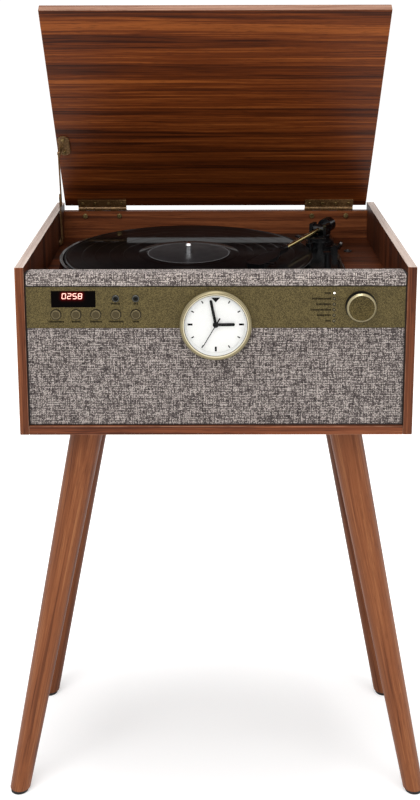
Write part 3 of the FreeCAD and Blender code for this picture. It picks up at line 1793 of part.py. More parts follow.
def lid_stay():
    """A sliding stay: a slotted bar that turns on the wall, and a bar that slides on it up to the lid."""
    at = ("0", "stay_back", "stay_z")
    wall = "-inner_half"
    flat = box(
        "bracket_flat",
        (wall, "-bracket_length / 2", "-bracket_radius / 2"),
        (f"{wall} + bracket_thickness", "bracket_length / 2", "bracket_radius / 2"),
    )
    ends = []
    for sy in ENDS.values():
        end_at = (wall, f"{sy} * bracket_length / 2", "0")
        ends.append(rod("bracket_end", "bracket_radius / 2", "bracket_thickness", end_at, "x"))
    stub_run = "bracket_thickness + stay_gap + stay_thickness"
    stub = rod("bracket_stub", "stay_pin", stub_run, (wall, "0", "0"), "x")
    keep(fuse("stay_wall_bracket", [flat, stub] + ends, at), "stay_wall_bracket")

    turn = {"at": at, "axis": (1, 0, 0), "angle": "stay_angle"}
    lower = bar("lower_bar", "lower_bar_length", "lower_bar_width", "stay_thickness", "lower_bar_x")
    hole_at = ("lower_bar_x", "0", "0")
    pivot_hole = rod("lower_bar_hole", "stay_pin + running_gap", "stay_thickness", hole_at, "x")
    slot = bar("slot", "slot_length", "2 * slot_half_width", "stay_thickness", "lower_bar_x")
    slot_cut = group("slot_place", [slot], ("0", "slot_start", "0"))
    keep(cut("stay_lower_bar", lower, [pivot_hole, slot_cut], **turn), "stay_lower_bar")

    upper = bar("upper_bar", "upper_bar_length", "upper_bar_width", "stay_thickness", "upper_bar_x")
    slider = rod(
        "slide_pin_rod",
        "slide_pin",
        "stay_thickness + stay_gap",
        ("upper_bar_x - stay_thickness - stay_gap", "slide_pin_reach", "0"),
        "x",
    )
    rivet = rod(
        "stay_rivet",
        "stay_pin",
        "stay_gap * 2",
        ("upper_bar_x - stay_gap * 2", "0", "0"),
        "x",
    )
    joined = fuse("upper_bar_joined", [upper, slider, rivet], ("0", "stay_span", "0"), (1, 0, 0), "180")
    keep(group("stay_upper_bar", [joined], **turn), "stay_upper_bar")


cabinet_panels()
deck()
legs()
front_board()
cloth()
control_strip()
sockets_and_lights()
push_buttons()
volume_knob()
boards()
speakers()
rear_sockets()
clock()
clock_hands()
chassis()
turning_parts()
belt_drive()
tonearm_base()
tonearm()
headshell()
arm_rest()
cueing()
lid()
cabinet_leaves()
lid_stay()
doc.recompute()

# Every object has to be sound before any piece is written
for obj in doc.Objects:
    if {"Invalid", "Error"} & set(obj.State):
        raise RuntimeError(f"{obj.Name} failed: {obj.State}")
for obj in nodes:
    if obj.Shape.isNull() or not obj.Shape.isValid() or not obj.Shape.Solids:
        raise RuntimeError(f"{obj.Label} has no sound solid")

os.makedirs("parts", exist_ok=True)
for obj in nodes:
    obj.Shape.exportStep(f"parts/{obj.Label}.step")
print(f"{len(nodes)} pieces written")
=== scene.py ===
"""Looks of a console record player: walnut cabinet on legs, tweed front, bronze control strip, clock and turntable."""

import logging
import math
from dataclasses import dataclass
from enum import Enum
from itertools import product
from typing import Iterable, Sequence

import bmesh
import bpy
import numpy as np
from mathutils import Matrix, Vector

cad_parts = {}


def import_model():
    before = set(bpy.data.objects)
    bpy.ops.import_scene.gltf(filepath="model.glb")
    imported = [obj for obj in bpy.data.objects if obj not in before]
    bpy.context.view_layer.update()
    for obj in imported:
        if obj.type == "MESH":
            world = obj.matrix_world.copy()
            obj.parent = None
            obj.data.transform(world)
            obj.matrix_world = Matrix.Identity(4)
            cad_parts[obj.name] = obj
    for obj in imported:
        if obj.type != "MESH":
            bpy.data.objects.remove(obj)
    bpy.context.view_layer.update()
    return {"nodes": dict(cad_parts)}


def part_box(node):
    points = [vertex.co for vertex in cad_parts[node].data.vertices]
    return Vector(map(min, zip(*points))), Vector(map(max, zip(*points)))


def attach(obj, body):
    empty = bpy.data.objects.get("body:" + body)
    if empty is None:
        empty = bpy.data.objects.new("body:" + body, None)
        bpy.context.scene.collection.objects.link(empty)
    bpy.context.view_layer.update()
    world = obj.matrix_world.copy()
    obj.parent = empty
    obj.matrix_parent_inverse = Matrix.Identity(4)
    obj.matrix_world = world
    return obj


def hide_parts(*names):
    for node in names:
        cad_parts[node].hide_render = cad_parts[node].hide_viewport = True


log = logging.getLogger("record_player")

Tone = tuple[int, int, int]
Three = tuple[Tone, Tone, Tone]
Colour = tuple[float, ...]
Point = Sequence[float]
Profile = Sequence[Sequence[float]]
Feed = bpy.types.NodeSocket | float | Sequence[float]
Sockets = Sequence[bpy.types.NodeSocket]

MM = 0.001  # a millimetre in metres
TINY = 1e-6  # points that are closer are one
SLIVER = 1e-7  # faces that are thinner are left out
FACING = 0.9  # least cosine between a face and the way it counts as looking
PAIR = (-1, 1)
FORWARD, BACKWARD = (0.0, -1.0, 0.0), (0.0, 1.0, 0.0)
UP, DOWN = (0.0, 0.0, 1.0), (0.0, 0.0, -1.0)
WHITE, BLACK = (1.0, 1.0, 1.0, 1.0), (0.0, 0.0, 0.0, 1.0)


def shade(tone: Tone) -> Colour:
    """Linear colour of a display colour: v / 12.92 in its darkest part, else ((v + 0.055) / 1.055)^2.4.

    Args:
        tone: Red, green and blue of 0 to 255.

    Returns:
        Linear red, green and blue, and an alpha of 1.
    """
    parts = np.array(tone) / 255.0
    linear = np.where(parts <= 0.04045, parts / 12.92, ((parts + 0.055) / 1.055) ** 2.4)
    return (*linear.tolist(), 1.0)


# Surfaces


class Axis(Enum):
    """The axis that a turned piece stands on."""

    Y = 1
    Z = 2


@dataclass
class Surface:
    """A mesh as arrays, in millimetres.

    Args:
        points: One row of x, y and z for each point.
        quads: One row of four point numbers for each face of the grid.
        caps: Rings of point numbers that close the ends.
        mark: A number at each point for the finish to read: rubbed edge, glow or radius.
        part: Which of the piece's finishes the surface takes.
    """

    points: np.ndarray
    quads: np.ndarray
    caps: tuple[tuple[int, ...], ...] = ()
    mark: np.ndarray | None = None
    part: int = 0

    def placed(self, matrix: np.ndarray, offset: Point) -> "Surface":
        """The surface turned by a matrix and then moved."""
        return Surface(self.points @ matrix.T + np.array(offset), self.quads, self.caps, self.mark, self.part)


def grid_quads(rows: int, columns: int, wrap: bool = False, loop: bool = False) -> np.ndarray:
    """Faces of a grid of points stored row by row.

    Args:
        rows: How many rows of points.
        columns: How many points in a row.
        wrap: Whether the last column joins the first.
        loop: Whether the last row joins the first.

    Returns:
        One row of four point numbers for each face.
    """
    i = np.arange(rows if loop else rows - 1)[:, None]
    j = np.arange(columns if wrap else columns - 1)[None, :]
    below, beside = (i + 1) % rows, (j + 1) % columns
    corners = (i * columns + j, i * columns + beside, below * columns + beside, below * columns + j)
    return np.stack(np.broadcast_arrays(*corners), axis=-1).reshape(-1, 4)


def grid_rim(rows: int, columns: int) -> np.ndarray:
    """Numbers of the points round the outside of a grid, in order.

    Args:
        rows: How many rows of points.
        columns: How many points in a row.

    Returns:
        The ring of point numbers.
    """
    grid = np.arange(rows * columns).reshape(rows, columns)
    return np.r_[grid[0, :-1], grid[:-1, -1], grid[-1, :0:-1], grid[:0:-1, 0]]


def softened(corners: Profile, steps: int = 5) -> np.ndarray:
    """A line whose corners are rounded: each corner P gives way to (1-s)^2 A + 2s(1-s) P + s^2 B.

    Args:
        corners: Rows of radius, height and the distance from the corner at which its curve starts.
        steps: Points on each curve.

    Returns:
        Rows of radius and height, with no point twice.
    """
    rows = np.array(corners, float)
    spots, reach = rows[:, :2], rows[:, 2:3]
    before, after = np.roll(spots, 1, axis=0) - spots, np.roll(spots, -1, axis=0) - spots
    start, end = (
        spots + reach * way / np.maximum(np.linalg.norm(way, axis=1, keepdims=True), TINY) for way in (before, after)
    )
    s = np.linspace(0, 1, steps)[None, :, None]
    curve = (1 - s) ** 2 * start[:, None] + 2 * s * (1 - s) * spots[:, None] + s**2 * end[:, None]
    line = curve.reshape(-1, 2)
    return line[np.r_[True, np.linalg.norm(np.diff(line, axis=0), axis=1) > TINY]]


def lathe(
    profile: np.ndarray, centre: Point, axis: Axis, segments: int, closed: bool = False, part: int = 0
) -> Surface:
    """A profile turned about an axis: r cos a and r sin a across it, h along it.

    Args:
        profile: Rows of radius and height.
        centre: Where height 0 of the axis is.
        axis: The axis that the piece is turned about.
        segments: Points round the axis.
        closed: Whether the profile is a loop of its own, as in a ring.
        part: Which finish it takes.

    Returns:
        The turned surface, which carries its radius as its mark.
    """
    angle = np.arange(segments) * (2 * np.pi / segments)
    radius, height = profile[:, 0:1], profile[:, 1:2]
    across = (radius * np.cos(angle), radius * np.sin(angle))
    along = np.broadcast_to(height, across[0].shape)
    order = {Axis.Y: (across[0], along, across[1]), Axis.Z: (*across, along)}
    points = np.stack(order[axis], axis=-1).reshape(-1, 3) + np.array(centre, float)
    mark = np.repeat(radius.ravel(), segments)
    return Surface(points, grid_quads(len(profile), segments, True, closed), mark=mark, part=part)


def turned_ring(profile: Profile, centre: Point, axis: Axis, segments: int, steps: int = 5, part: int = 0) -> Surface:
    """A ring whose profile is a loop with softened corners."""
    return lathe(softened(profile, steps), centre, axis, segments, True, part)


def rounded_box(low: Point, high: Point, radius: float, steps: int = 3) -> Surface:
    """A box with soft edges: a rounded rectangle carried upwards, drawn in along a quarter circle at each end.

    Args:
        low: Lowest corner.
        high: Highest corner.
        radius: Radius of every edge.
        steps: Points on each quarter circle.

    Returns:
        The closed box, with its edges marked.
    """
    centre, half = (np.array(low) + np.array(high)) / 2, (np.array(high) - np.array(low)) / 2
    turn = np.linspace(0, np.pi / 2, steps)
    inset = np.r_[radius * (1 - np.sin(turn)), radius * (1 - np.sin(turn[::-1]))][:, None]
    level = np.r_[radius * (1 - np.cos(turn)) - half[2], half[2] - radius * (1 - np.cos(turn[::-1]))][:, None]
    corner = (turn + np.arange(4)[:, None] * np.pi / 2).ravel()
    side = np.repeat([[1, 1], [-1, 1], [-1, -1], [1, -1]], steps, axis=0)
    reach = radius - inset
    x = side[:, 0] * (half[0] - radius) + reach * np.cos(corner)
    y = side[:, 1] * (half[1] - radius) + reach * np.sin(corner)
    points = np.stack(np.broadcast_arrays(x, y, level), axis=-1).reshape(-1, 3) + centre
    worn = np.sin(2 * np.r_[turn, turn])[:, None]
    mark = np.maximum(worn, np.tile(np.sin(2 * turn), 4)[None, :] * (reach > TINY)).ravel()
    columns = 4 * steps
    ends = (tuple(range(columns))[::-1], tuple(range((2 * steps - 1) * columns, 2 * steps * columns)))
    return Surface(points, grid_quads(2 * steps, columns, True), ends, mark)


def slab(outline: np.ndarray, front: float, back: float) -> Surface:
    """A flat shape with straight sides: an outline in X and Z carried along Y.

    Args:
        outline: Rows of x and z.
        front: Y of its face.
        back: Y of its back.

    Returns:
        The closed slab.
    """
    count = len(outline)
    level = np.repeat([[front], [back]], count, axis=0)
    flat = np.tile(outline, (2, 1))
    points = np.concatenate([flat[:, :1], level, flat[:, 1:]], axis=1)
    return Surface(points, grid_quads(2, count, True), (tuple(range(count)), tuple(range(count, 2 * count))))


def capsule(start: Point, end: Point, width: float, steps: int = 9) -> np.ndarray:
    """The outline of a bar with round ends: half circles about its two end points.

    Args:
        start: X and Z of one end's centre.
        end: X and Z of the other.
        width: Its width.
        steps: Points on each half circle.

    Returns:
        Rows of x and z.
    """
    first, last = np.array(start, float), np.array(end, float)
    lean = math.atan2(last[1] - first[1], last[0] - first[0])
    fan = np.linspace(-np.pi / 2, np.pi / 2, steps) + lean
    round_end = width / 2 * np.stack([np.cos(fan), np.sin(fan)], axis=-1)
    return np.concatenate([last + round_end, first - round_end])


def oblong(spot: Point, width: float, height: float, turn: float = 0.0) -> np.ndarray:
    """The outline of an upright bar about its middle, turned clockwise.

    Args:
        spot: X and Z of its middle.
        width: Its width.
        height: Its height before it is turned.
        turn: Degrees.

    Returns:
        Rows of x and z.
    """
    c, s = math.cos(math.radians(turn)), math.sin(math.radians(turn))
    corners = np.array([[-1, -1], [1, -1], [1, 1], [-1, 1]]) * [width / 2, height / 2]
    return corners @ np.array([[c, -s], [s, c]]) + spot


def clockwise(degrees: float) -> np.ndarray:
    """X and Z of a step of length 1, so many degrees past twelve."""
    return np.array([math.sin(math.radians(degrees)), math.cos(math.radians(degrees))])


SCREW_LINE = np.array([0, 0.15, 0.17, 0.4, 0.6, 0.62, 0.8, 0.93, 1.0])
RECESS_HALF, RECESS_REACH, RECESS_FLOOR = 0.16, 0.61, 0.12
DOME_FALL, DOME_RIM = 0.45, 0.99


def screw_dome(centre: Point, normal: Point, radius: float, height: float) -> Surface:
    """The domed face of a screw with a cross recess.

    A square of u and v is drawn on to a disc as u sqrt(1 - v^2/2) and v sqrt(1 - u^2/2). The dome falls with
    the square of the distance from its middle, its rim drops to the head, and the cross is sunk.

    Args:
        centre: Middle of the flat head that it stands on.
        normal: The way it faces, which is square to X.
        radius: Radius of the head.
        height: Height of the dome.

    Returns:
        The domed face with a flat underside.
    """
    line = np.r_[-SCREW_LINE[:0:-1], SCREW_LINE]
    u, v = np.meshgrid(line, line)
    x, y = u * np.sqrt(1 - v**2 / 2), v * np.sqrt(1 - u**2 / 2)
    least, most = np.minimum(np.abs(u), np.abs(v)), np.maximum(np.abs(u), np.abs(v))
    sunk = (least < RECESS_HALF) & (most < RECESS_REACH)
    rise = np.where(sunk, RECESS_FLOOR, 1 - DOME_FALL * np.clip(x**2 + y**2, 0, 1))
    rise[most > DOME_RIM] = 0.0
    face = np.array(normal, float)
    side = np.cross(face, [1.0, 0.0, 0.0])
    up = np.cross(side, face)
    flat = np.stack([x, y], axis=-1).reshape(-1, 2) * radius
    points = flat[:, :1] * side + flat[:, 1:] * up + rise.reshape(-1, 1) * height * face + np.array(centre, float)
    size = len(line)
    return Surface(points, grid_quads(size, size), (tuple(grid_rim(size, size).tolist()),))


# Meshes


def column(items: bpy.types.bpy_prop_collection, name: str, width: int = 1, kind: type = np.float32) -> np.ndarray:
    """One property of a mesh's points, corners or faces.

    Args:
        items: The points, corners or faces.
        name: The property.
        width: How many numbers each of them has.
        kind: The numbers' type.

    Returns:
        One row for each of them.
    """
    values = np.zeros(len(items) * width, kind)
    items.foreach_get(name, values)
    return values.reshape(-1, width).squeeze(axis=1) if width == 1 else values.reshape(-1, width)


def build_mesh(name: str, surfaces: Sequence[Surface], sharp: float, solid: bool) -> bpy.types.Mesh:
    """One mesh from surfaces, with doubled points joined and faces outwards.

    Args:
        name: The mesh's name.
        surfaces: What it is made of.
        sharp: Edges that bend by more degrees than this stay crisp.
        solid: Whether the surfaces are closed.

    Returns:
        The mesh.
    """
    starts = np.cumsum([0] + [len(s.points) for s in surfaces])
    points = np.concatenate([s.points for s in surfaces]) * MM
    faces: list[Sequence[int]] = []
    parts: list[int] = []
    for surface, start in zip(surfaces, starts):
        made = (surface.quads + start).tolist() + [(np.array(cap) + start).tolist() for cap in surface.caps]
        faces += made
        parts += [surface.part] * len(made)
    mesh = bpy.data.meshes.new(name)
    mesh.from_pydata(points, [], faces)
    mesh.polygons.foreach_set("material_index", np.array(parts, np.int32))
    marks = np.concatenate([np.zeros(len(s.points)) if s.mark is None else s.mark for s in surfaces])
    mesh.attributes.new("mark", "FLOAT", "POINT").data.foreach_set("value", marks.astype(np.float32))
    work = bmesh.new()
    work.from_mesh(mesh)
    bmesh.ops.remove_doubles(work, verts=work.verts, dist=TINY)
    bmesh.ops.dissolve_degenerate(work, edges=work.edges, dist=SLIVER)
    if solid:
        bmesh.ops.recalc_face_normals(work, faces=work.faces)
    work.to_mesh(mesh)
    work.free()
    mesh.shade_smooth()
    mesh.set_sharp_from_angle(angle=math.radians(sharp))
    return mesh


def add_object(name: str, data: bpy.types.ID) -> bpy.types.Object:
    """A new object in the scene.

    Args:
        name: Its name.
        data: Its mesh, lamp or camera.

    Returns:
        The object.
    """
    obj = bpy.data.objects.new(name, data)
    bpy.context.scene.collection.objects.link(obj)
    return obj


def band(mesh: bpy.types.Mesh, way: Point, part: int) -> None:
    """Give the faces that look one way another of the piece's finishes, a lighter or darker copy that paints the light
    or shade falling on that side.

    Args:
        mesh: The piece's mesh.
        way: The way that the faces look.
        part: Which finish they take.
    """
    parts = column(mesh.polygons, "material_index", kind=np.int32)
    parts[column(mesh.polygons, "normal", 3) @ np.array(way) > FACING] = part
    mesh.polygons.foreach_set("material_index", parts)


# Node trees


class Bench:
    """Adds and joins nodes in one tree."""

    def __init__(self, tree: bpy.types.NodeTree) -> None:
        """Work on a tree."""
        self.tree = tree

    def fill(self, node: bpy.types.Node, inputs: dict[str | int, Feed]) -> bpy.types.Node:
        """Join a node's sockets to others, or set their values.

        Args:
            node: The node.
            inputs: What goes into each socket, by its name or number.

        Returns:
            The node.
        """
        for name, value in inputs.items():
            if isinstance(value, bpy.types.NodeSocket):
                self.tree.links.new(value, node.inputs[name])
            else:
                node.inputs[name].default_value = value
        return node

    def add(self, kind: str, inputs: dict[str | int, Feed] | None = None, **settings: object) -> bpy.types.Node:
        """A new node.

        Args:
            kind: Its type.
            inputs: What goes into its sockets.
            settings: Its properties.

        Returns:
            The node.
        """
        node = self.tree.nodes.new(kind)
        for name, value in settings.items():
            setattr(node, name, value)
        return self.fill(node, inputs or {})

    def sum(self, operation: str, *values: Feed) -> bpy.types.NodeSocket:
        """The result of a Math node."""
        return self.add("ShaderNodeMath", dict(enumerate(values)), operation=operation).outputs[0]

    def vector(self, operation: str, *values: Feed) -> bpy.types.NodeSocket:
        """The result of a Vector Math node."""
        node = self.add("ShaderNodeVectorMath", dict(enumerate(values)), operation=operation)
        return node.outputs["Value" if operation == "LENGTH" else "Vector"]

    def noise(
        self, vector: Feed, cells: float | Point, detail: float = 2.0, rough: float = 0.5
    ) -> bpy.types.NodeSocket:
        """A noise of 0 to 1.

        Args:
            vector: Where it is read.
            cells: Its cells a metre, along every axis or along each.
            detail: How many finer noises are added.
            rough: How much the finer ones count.

        Returns:
            The noise.
        """
        place = self.vector("MULTIPLY", vector, np.full(3, cells).tolist())
        inputs = {"Vector": place, "Scale": 1.0, "Detail": detail, "Roughness": rough}
        return self.add("ShaderNodeTexNoise", inputs).outputs[0]

    def ease(self, value: Feed, low: float, high: float, start: float = 0.0, end: float = 1.0) -> bpy.types.NodeSocket:
        """A value eased from the range of low to high to that of start to end."""
        inputs = {"Value": value, "From Min": low, "From Max": high, "To Min": start, "To Max": end}
        return self.add("ShaderNodeMapRange", inputs, interpolation_type="SMOOTHSTEP").outputs[0]

    def mix(self, share: Feed, first: Feed, second: Feed, blend: str = "MIX") -> bpy.types.NodeSocket:
        """Two colours mixed."""
        inputs = {0: share, 6: first, 7: second}
        return self.add("ShaderNodeMix", inputs, data_type="RGBA", blend_type=blend).outputs[2]

    def between(self, share: Feed, first: Feed, second: Feed) -> bpy.types.NodeSocket:
        """Two numbers mixed."""
        return self.add("ShaderNodeMix", {0: share, 2: first, 3: second}, data_type="FLOAT").outputs[0]

    def split(self, vector: Feed) -> Sockets:
        """The three parts of a vector."""
        return self.add("ShaderNodeSeparateXYZ", {"Vector": vector}).outputs

    def joined(self, x: Feed, y: Feed, z: Feed) -> bpy.types.NodeSocket:
        """A vector from three parts."""
        return self.add("ShaderNodeCombineXYZ", {"X": x, "Y": y, "Z": z}).outputs[0]

    def mark(self) -> bpy.types.NodeSocket:
        """The number that a piece carries at each point."""
        return self.add("ShaderNodeAttribute", attribute_name="mark").outputs["Fac"]


class Socket(Enum):
    """The kinds of socket that an effect has."""

    VECTOR = "NodeSocketVector"
    COLOUR = "NodeSocketColor"
    NUMBER = "NodeSocketFloat"


class Effect:
    """A shared node group with named sockets; each subclass draws one effect."""

    name = "effect"
    takes: dict[str, Socket] = {}
    gives: dict[str, Socket] = {"Color": Socket.COLOUR, "Roughness": Socket.NUMBER, "Height": Socket.NUMBER}

    def tree(self) -> bpy.types.NodeTree:
        """The group, made once.

        Returns:
            The node group.
        """
        found = bpy.data.node_groups.get(self.name)
        if found:
            return found
        group = bpy.data.node_groups.new(self.name, "ShaderNodeTree")
        for way, sockets in (("INPUT", self.takes), ("OUTPUT", self.gives)):
            for socket, kind in sockets.items():
                group.interface.new_socket(name=socket, in_out=way, socket_type=kind.value)
        bench = Bench(group)
        given = bench.add("NodeGroupInput").outputs
        bench.add("NodeGroupOutput", self.draw(bench, given))
        return group

    def draw(self, bench: Bench, given: Sockets) -> dict[str, Feed]:
        """The nodes of the effect.

        Args:
            bench: Where they are made.
            given: The group's inputs.

        Returns:
            What each output is.
        """
        raise NotImplementedError


class Grain(Effect):
    """Straight veneer grain along X: wavy broad bands, long streaks, fine lines and short dark pores."""

    name = "veneer_grain"
    takes = {"Vector": Socket.VECTOR, "Dark": Socket.COLOUR, "Middle": Socket.COLOUR, "Light": Socket.COLOUR}
    sway_cells, sway_reach = (3.0, 10.0, 10.0), (0.0, 0.01, 0.01)
    band_cells, band_share = (1.1, 46.0, 46.0), 0.3
    streak_cells, streak_share = (3.2, 300.0, 300.0), 0.28
    line_cells, line_share = (9.0, 760.0, 760.0), 0.22
    pore_cells, pore_share = (60.0, 1500.0, 1500.0), 0.5
    growth_turns, growth_bend, growth_swing, growth_share = 36.0, 5.0, 0.1, 0.2
    pore_range, middle_range, light_range = (0.58, 0.7), (0.405, 0.505), (0.495, 0.6)
    gloss_gain, gloss_lift = 0.25, 0.34
    streak_height, pore_height = 0.5, 0.8

    def draw(self, bench: Bench, given: Sockets) -> dict[str, Feed]:
        """Noises that are long along the grain, and growth lines sin(36 bands + 5 streaks), added by their shares.

        Args:
            bench: Where the nodes are made.
            given: The group's inputs.

        Returns:
            The sum eased between three browns with dark pores, and its gloss and height.
        """
        sway = bench.sum("SUBTRACT", bench.noise(given["Vector"], self.sway_cells), 0.5)
        wave = bench.vector("MULTIPLY", bench.joined(0.0, sway, sway), self.sway_reach)
        spot = bench.vector("ADD", given["Vector"], wave)
        bands = bench.noise(spot, self.band_cells, detail=1.0)
        streaks = bench.noise(spot, self.streak_cells, detail=3.0, rough=0.6)
        lines = bench.noise(spot, self.line_cells, rough=0.6)
        pores = bench.ease(bench.noise(spot, self.pore_cells, detail=1.0), *self.pore_range)
        bend = bench.sum("MULTIPLY", streaks, self.growth_bend)
        turns = bench.sum("SINE", bench.sum("MULTIPLY_ADD", bands, self.growth_turns, bend))
        figure = bench.sum("MULTIPLY_ADD", turns, self.growth_swing, 0.5)
        broad = bench.sum("MULTIPLY_ADD", bands, self.band_share, bench.sum("MULTIPLY", streaks, self.streak_share))
        fine = bench.sum("MULTIPLY_ADD", lines, self.line_share, broad)
        tone = bench.sum("MULTIPLY_ADD", figure, self.growth_share, fine)
        deep = bench.mix(bench.ease(tone, *self.middle_range), given["Dark"], given["Middle"])
        veneer = bench.mix(bench.ease(tone, *self.light_range), deep, given["Light"])
        pitted = bench.mix(bench.sum("MULTIPLY", pores, self.pore_share), veneer, given["Dark"])
        raised = bench.sum("MULTIPLY_ADD", streaks, self.streak_height, lines)
        return {
            "Color": pitted,
            "Roughness": bench.sum("MULTIPLY_ADD", lines, self.gloss_gain, self.gloss_lift),
            "Height": bench.sum("SUBTRACT", raised, bench.sum("MULTIPLY", pores, self.pore_height)),
        }


class Weave(Effect):
    """Plain-weave tweed: upright and level threads go over and under by turns, each flecked along its length."""

    name = "tweed_weave"
    takes = {
        "Vector": Socket.VECTOR,
        "Pitch": Socket.NUMBER,
        "Dark": Socket.COLOUR,
        "Middle": Socket.COLOUR,
        "Light": Socket.COLOUR,
    }
    thread_step, run_step = 5.37, 0.06
    pale_thread, fleck_gain, fleck_lift = 0.14, 0.8, 0.03
    under_share, over_gain = 0.35, 0.3
    knot_share = 0.26
    seeds = (0.0, 40.0)
    middle_range, light_range, gloss_range = (0.36, 0.5), (0.5, 0.64), (0.3, 0.7, 0.95, 0.8)
    gap_range = (0.05, 0.55, 0.45, 1.0)

    def fleck(self, bench: Bench, thread: Feed, run: Feed, seed: float) -> bpy.types.NodeSocket:
        """A noise that changes slowly along a thread and at random from thread to thread, every other one paler.

        Args:
            bench: Where the nodes are made.
            thread: The thread's number.
            run: How far along it, in threads.
            seed: Which of the noise's planes is read.

        Returns:
            A tone of 0 to 1.
        """
        across, along = bench.sum("MULTIPLY", thread, self.thread_step), bench.sum("MULTIPLY", run, self.run_step)
        place = bench.joined(across, along, seed)
        noise = bench.add("ShaderNodeTexNoise", {"Vector": place, "Scale": 1.0, "Detail": 1.0, "Roughness": 0.6})
        flecks = bench.sum("MULTIPLY_ADD", noise.outputs[0], self.fleck_gain, self.fleck_lift)
        return bench.sum("MULTIPLY_ADD", bench.sum("FLOORED_MODULO", thread, 2.0), self.pale_thread, flecks)

    def draw(self, bench: Bench, given: Sockets) -> dict[str, Feed]:
        """Thread numbers are the floors of the two distances over the pitch; by their sum's parity one counts more.

        Each crossing also has a chance tone of its own, and its crown is the root of |sin pi a| |sin pi b|.

        Args:
            bench: Where the nodes are made.
            given: The group's inputs.

        Returns:
            Three greys, dark between the threads, and their gloss and height.
        """
        x, y, z = bench.split(given["Vector"])
        across = bench.sum("DIVIDE", x, given["Pitch"])
        along = bench.sum("DIVIDE", bench.sum("ADD", y, z), given["Pitch"])
        warp, weft = bench.sum("FLOOR", across), bench.sum("FLOOR", along)
        parity = bench.sum("FLOORED_MODULO", bench.sum("ADD", warp, weft), 2.0)
        upright = self.fleck(bench, warp, along, self.seeds[0])
        level = self.fleck(bench, weft, across, self.seeds[1])
        threads = bench.between(bench.sum("MULTIPLY_ADD", parity, self.over_gain, self.under_share), upright, level)
        knot = bench.add("ShaderNodeTexWhiteNoise", {"Vector": bench.joined(warp, weft, 0.0)}, noise_dimensions="2D")
        chance = bench.sum("SUBTRACT", knot.outputs["Value"], 0.5)
        tone = bench.sum("MULTIPLY_ADD", chance, self.knot_share, threads)
        arch, span = (
            bench.sum("ABSOLUTE", bench.sum("SINE", bench.sum("MULTIPLY", far, math.pi))) for far in (across, along)
        )
        crown = bench.sum("POWER", bench.sum("MULTIPLY", arch, span), 0.5)
        deep = bench.mix(bench.ease(tone, *self.middle_range), given["Dark"], given["Middle"])
        thread = bench.mix(bench.ease(tone, *self.light_range), deep, given["Light"])
        gaps = bench.ease(crown, *self.gap_range)
        cloth = bench.mix(1.0, thread, bench.joined(gaps, gaps, gaps), "MULTIPLY")
        return {"Color": cloth, "Roughness": bench.ease(tone, *self.gloss_range), "Height": crown}


class Mottle(Effect):
    """A fine grain with a slower drift under it, for paint, plastic, rubber and old metal."""

    name = "fine_mottle"
    takes = {
        "Vector": Socket.VECTOR,
        "Base": Socket.COLOUR,
        "Fleck": Socket.COLOUR,
        "Cells": Socket.NUMBER,
        "Amount": Socket.NUMBER,
        "Drift": Socket.NUMBER,
        "Low": Socket.NUMBER,
        "High": Socket.NUMBER,
    }
    drift_cells = 0.05
    fleck_range, gloss_range = (0.42, 0.64), (0.3, 0.7)

    def draw(self, bench: Bench, given: Sockets) -> dict[str, Feed]:
        """A noise of so many cells a metre and one of a twentieth of that, mixed and eased to a fleck colour.

        Args:
            bench: Where the nodes are made.
            given: The group's inputs.

        Returns:
            The flecked colour, a gloss that follows the slow noise, and the fine one as height.
        """
        inputs = {0: given["Vector"], 3: given["Cells"]}
        place = bench.add("ShaderNodeVectorMath", inputs, operation="SCALE").outputs[0]
        fine = bench.noise(place, 1.0, rough=0.6)
        slow = bench.noise(place, self.drift_cells, detail=3.0, rough=0.6)
        rest = bench.sum("SUBTRACT", 1.0, given["Drift"])
        tone = bench.sum("MULTIPLY_ADD", fine, rest, bench.sum("MULTIPLY", slow, given["Drift"]))
        flecked = bench.sum("MULTIPLY", bench.ease(tone, *self.fleck_range), given["Amount"])
        gloss = bench.between(bench.ease(slow, *self.gloss_range), given["Low"], given["High"])
        return {"Color": bench.mix(flecked, given["Base"], given["Fleck"]), "Roughness": gloss, "Height": fine}


class Rings(Effect):
    """Lathe marks: fine rings at so many cells a millimetre of radius."""

    name = "lathe_rings"
    takes = {"Radius": Socket.NUMBER, "Base": Socket.COLOUR, "Bright": Socket.COLOUR, "Cells": Socket.NUMBER}
    ring_range, gloss_range = (0.35, 0.65), (0.3, 0.7, 0.24, 0.42)

    def draw(self, bench: Bench, given: Sockets) -> dict[str, Feed]:
        """A noise that depends on the distance from the axis alone.

        Args:
            bench: Where the nodes are made.
            given: The group's inputs.

        Returns:
            The colour, gloss and height of the rings.
        """
        place = bench.joined(bench.sum("MULTIPLY", given["Radius"], given["Cells"]), 0.0, 0.0)
        ring = bench.noise(place, 1.0, rough=0.7)
        colour = bench.mix(bench.ease(ring, *self.ring_range), given["Base"], given["Bright"])
        return {"Color": colour, "Roughness": bench.ease(ring, *self.gloss_range), "Height": ring}


class Wear(Effect):
    """Rubbed edges: the marked edges of a piece go towards a paler colour, unevenly."""

    name = "edge_wear"
    takes = {"Vector": Socket.VECTOR, "Color": Socket.COLOUR, "Bare": Socket.COLOUR, "Edge": Socket.NUMBER}
    gives = {"Color": Socket.COLOUR}
    patch_cells, patch_range = 40.0, (0.35, 0.65, 0.25, 0.75)

    def draw(self, bench: Bench, given: Sockets) -> dict[str, Feed]:
        """The edge mark times a patchy noise is the share of the paler colour.

        Args:
            bench: Where the nodes are made.
            given: The group's inputs.

        Returns:
            The rubbed colour.
        """
        rubbed = bench.noise(given["Vector"], self.patch_cells, detail=3.0, rough=0.7)
        share = bench.sum("MULTIPLY", given["Edge"], bench.ease(rubbed, *self.patch_range))
        return {"Color": bench.mix(share, given["Color"], given["Bare"])}


# Finishes


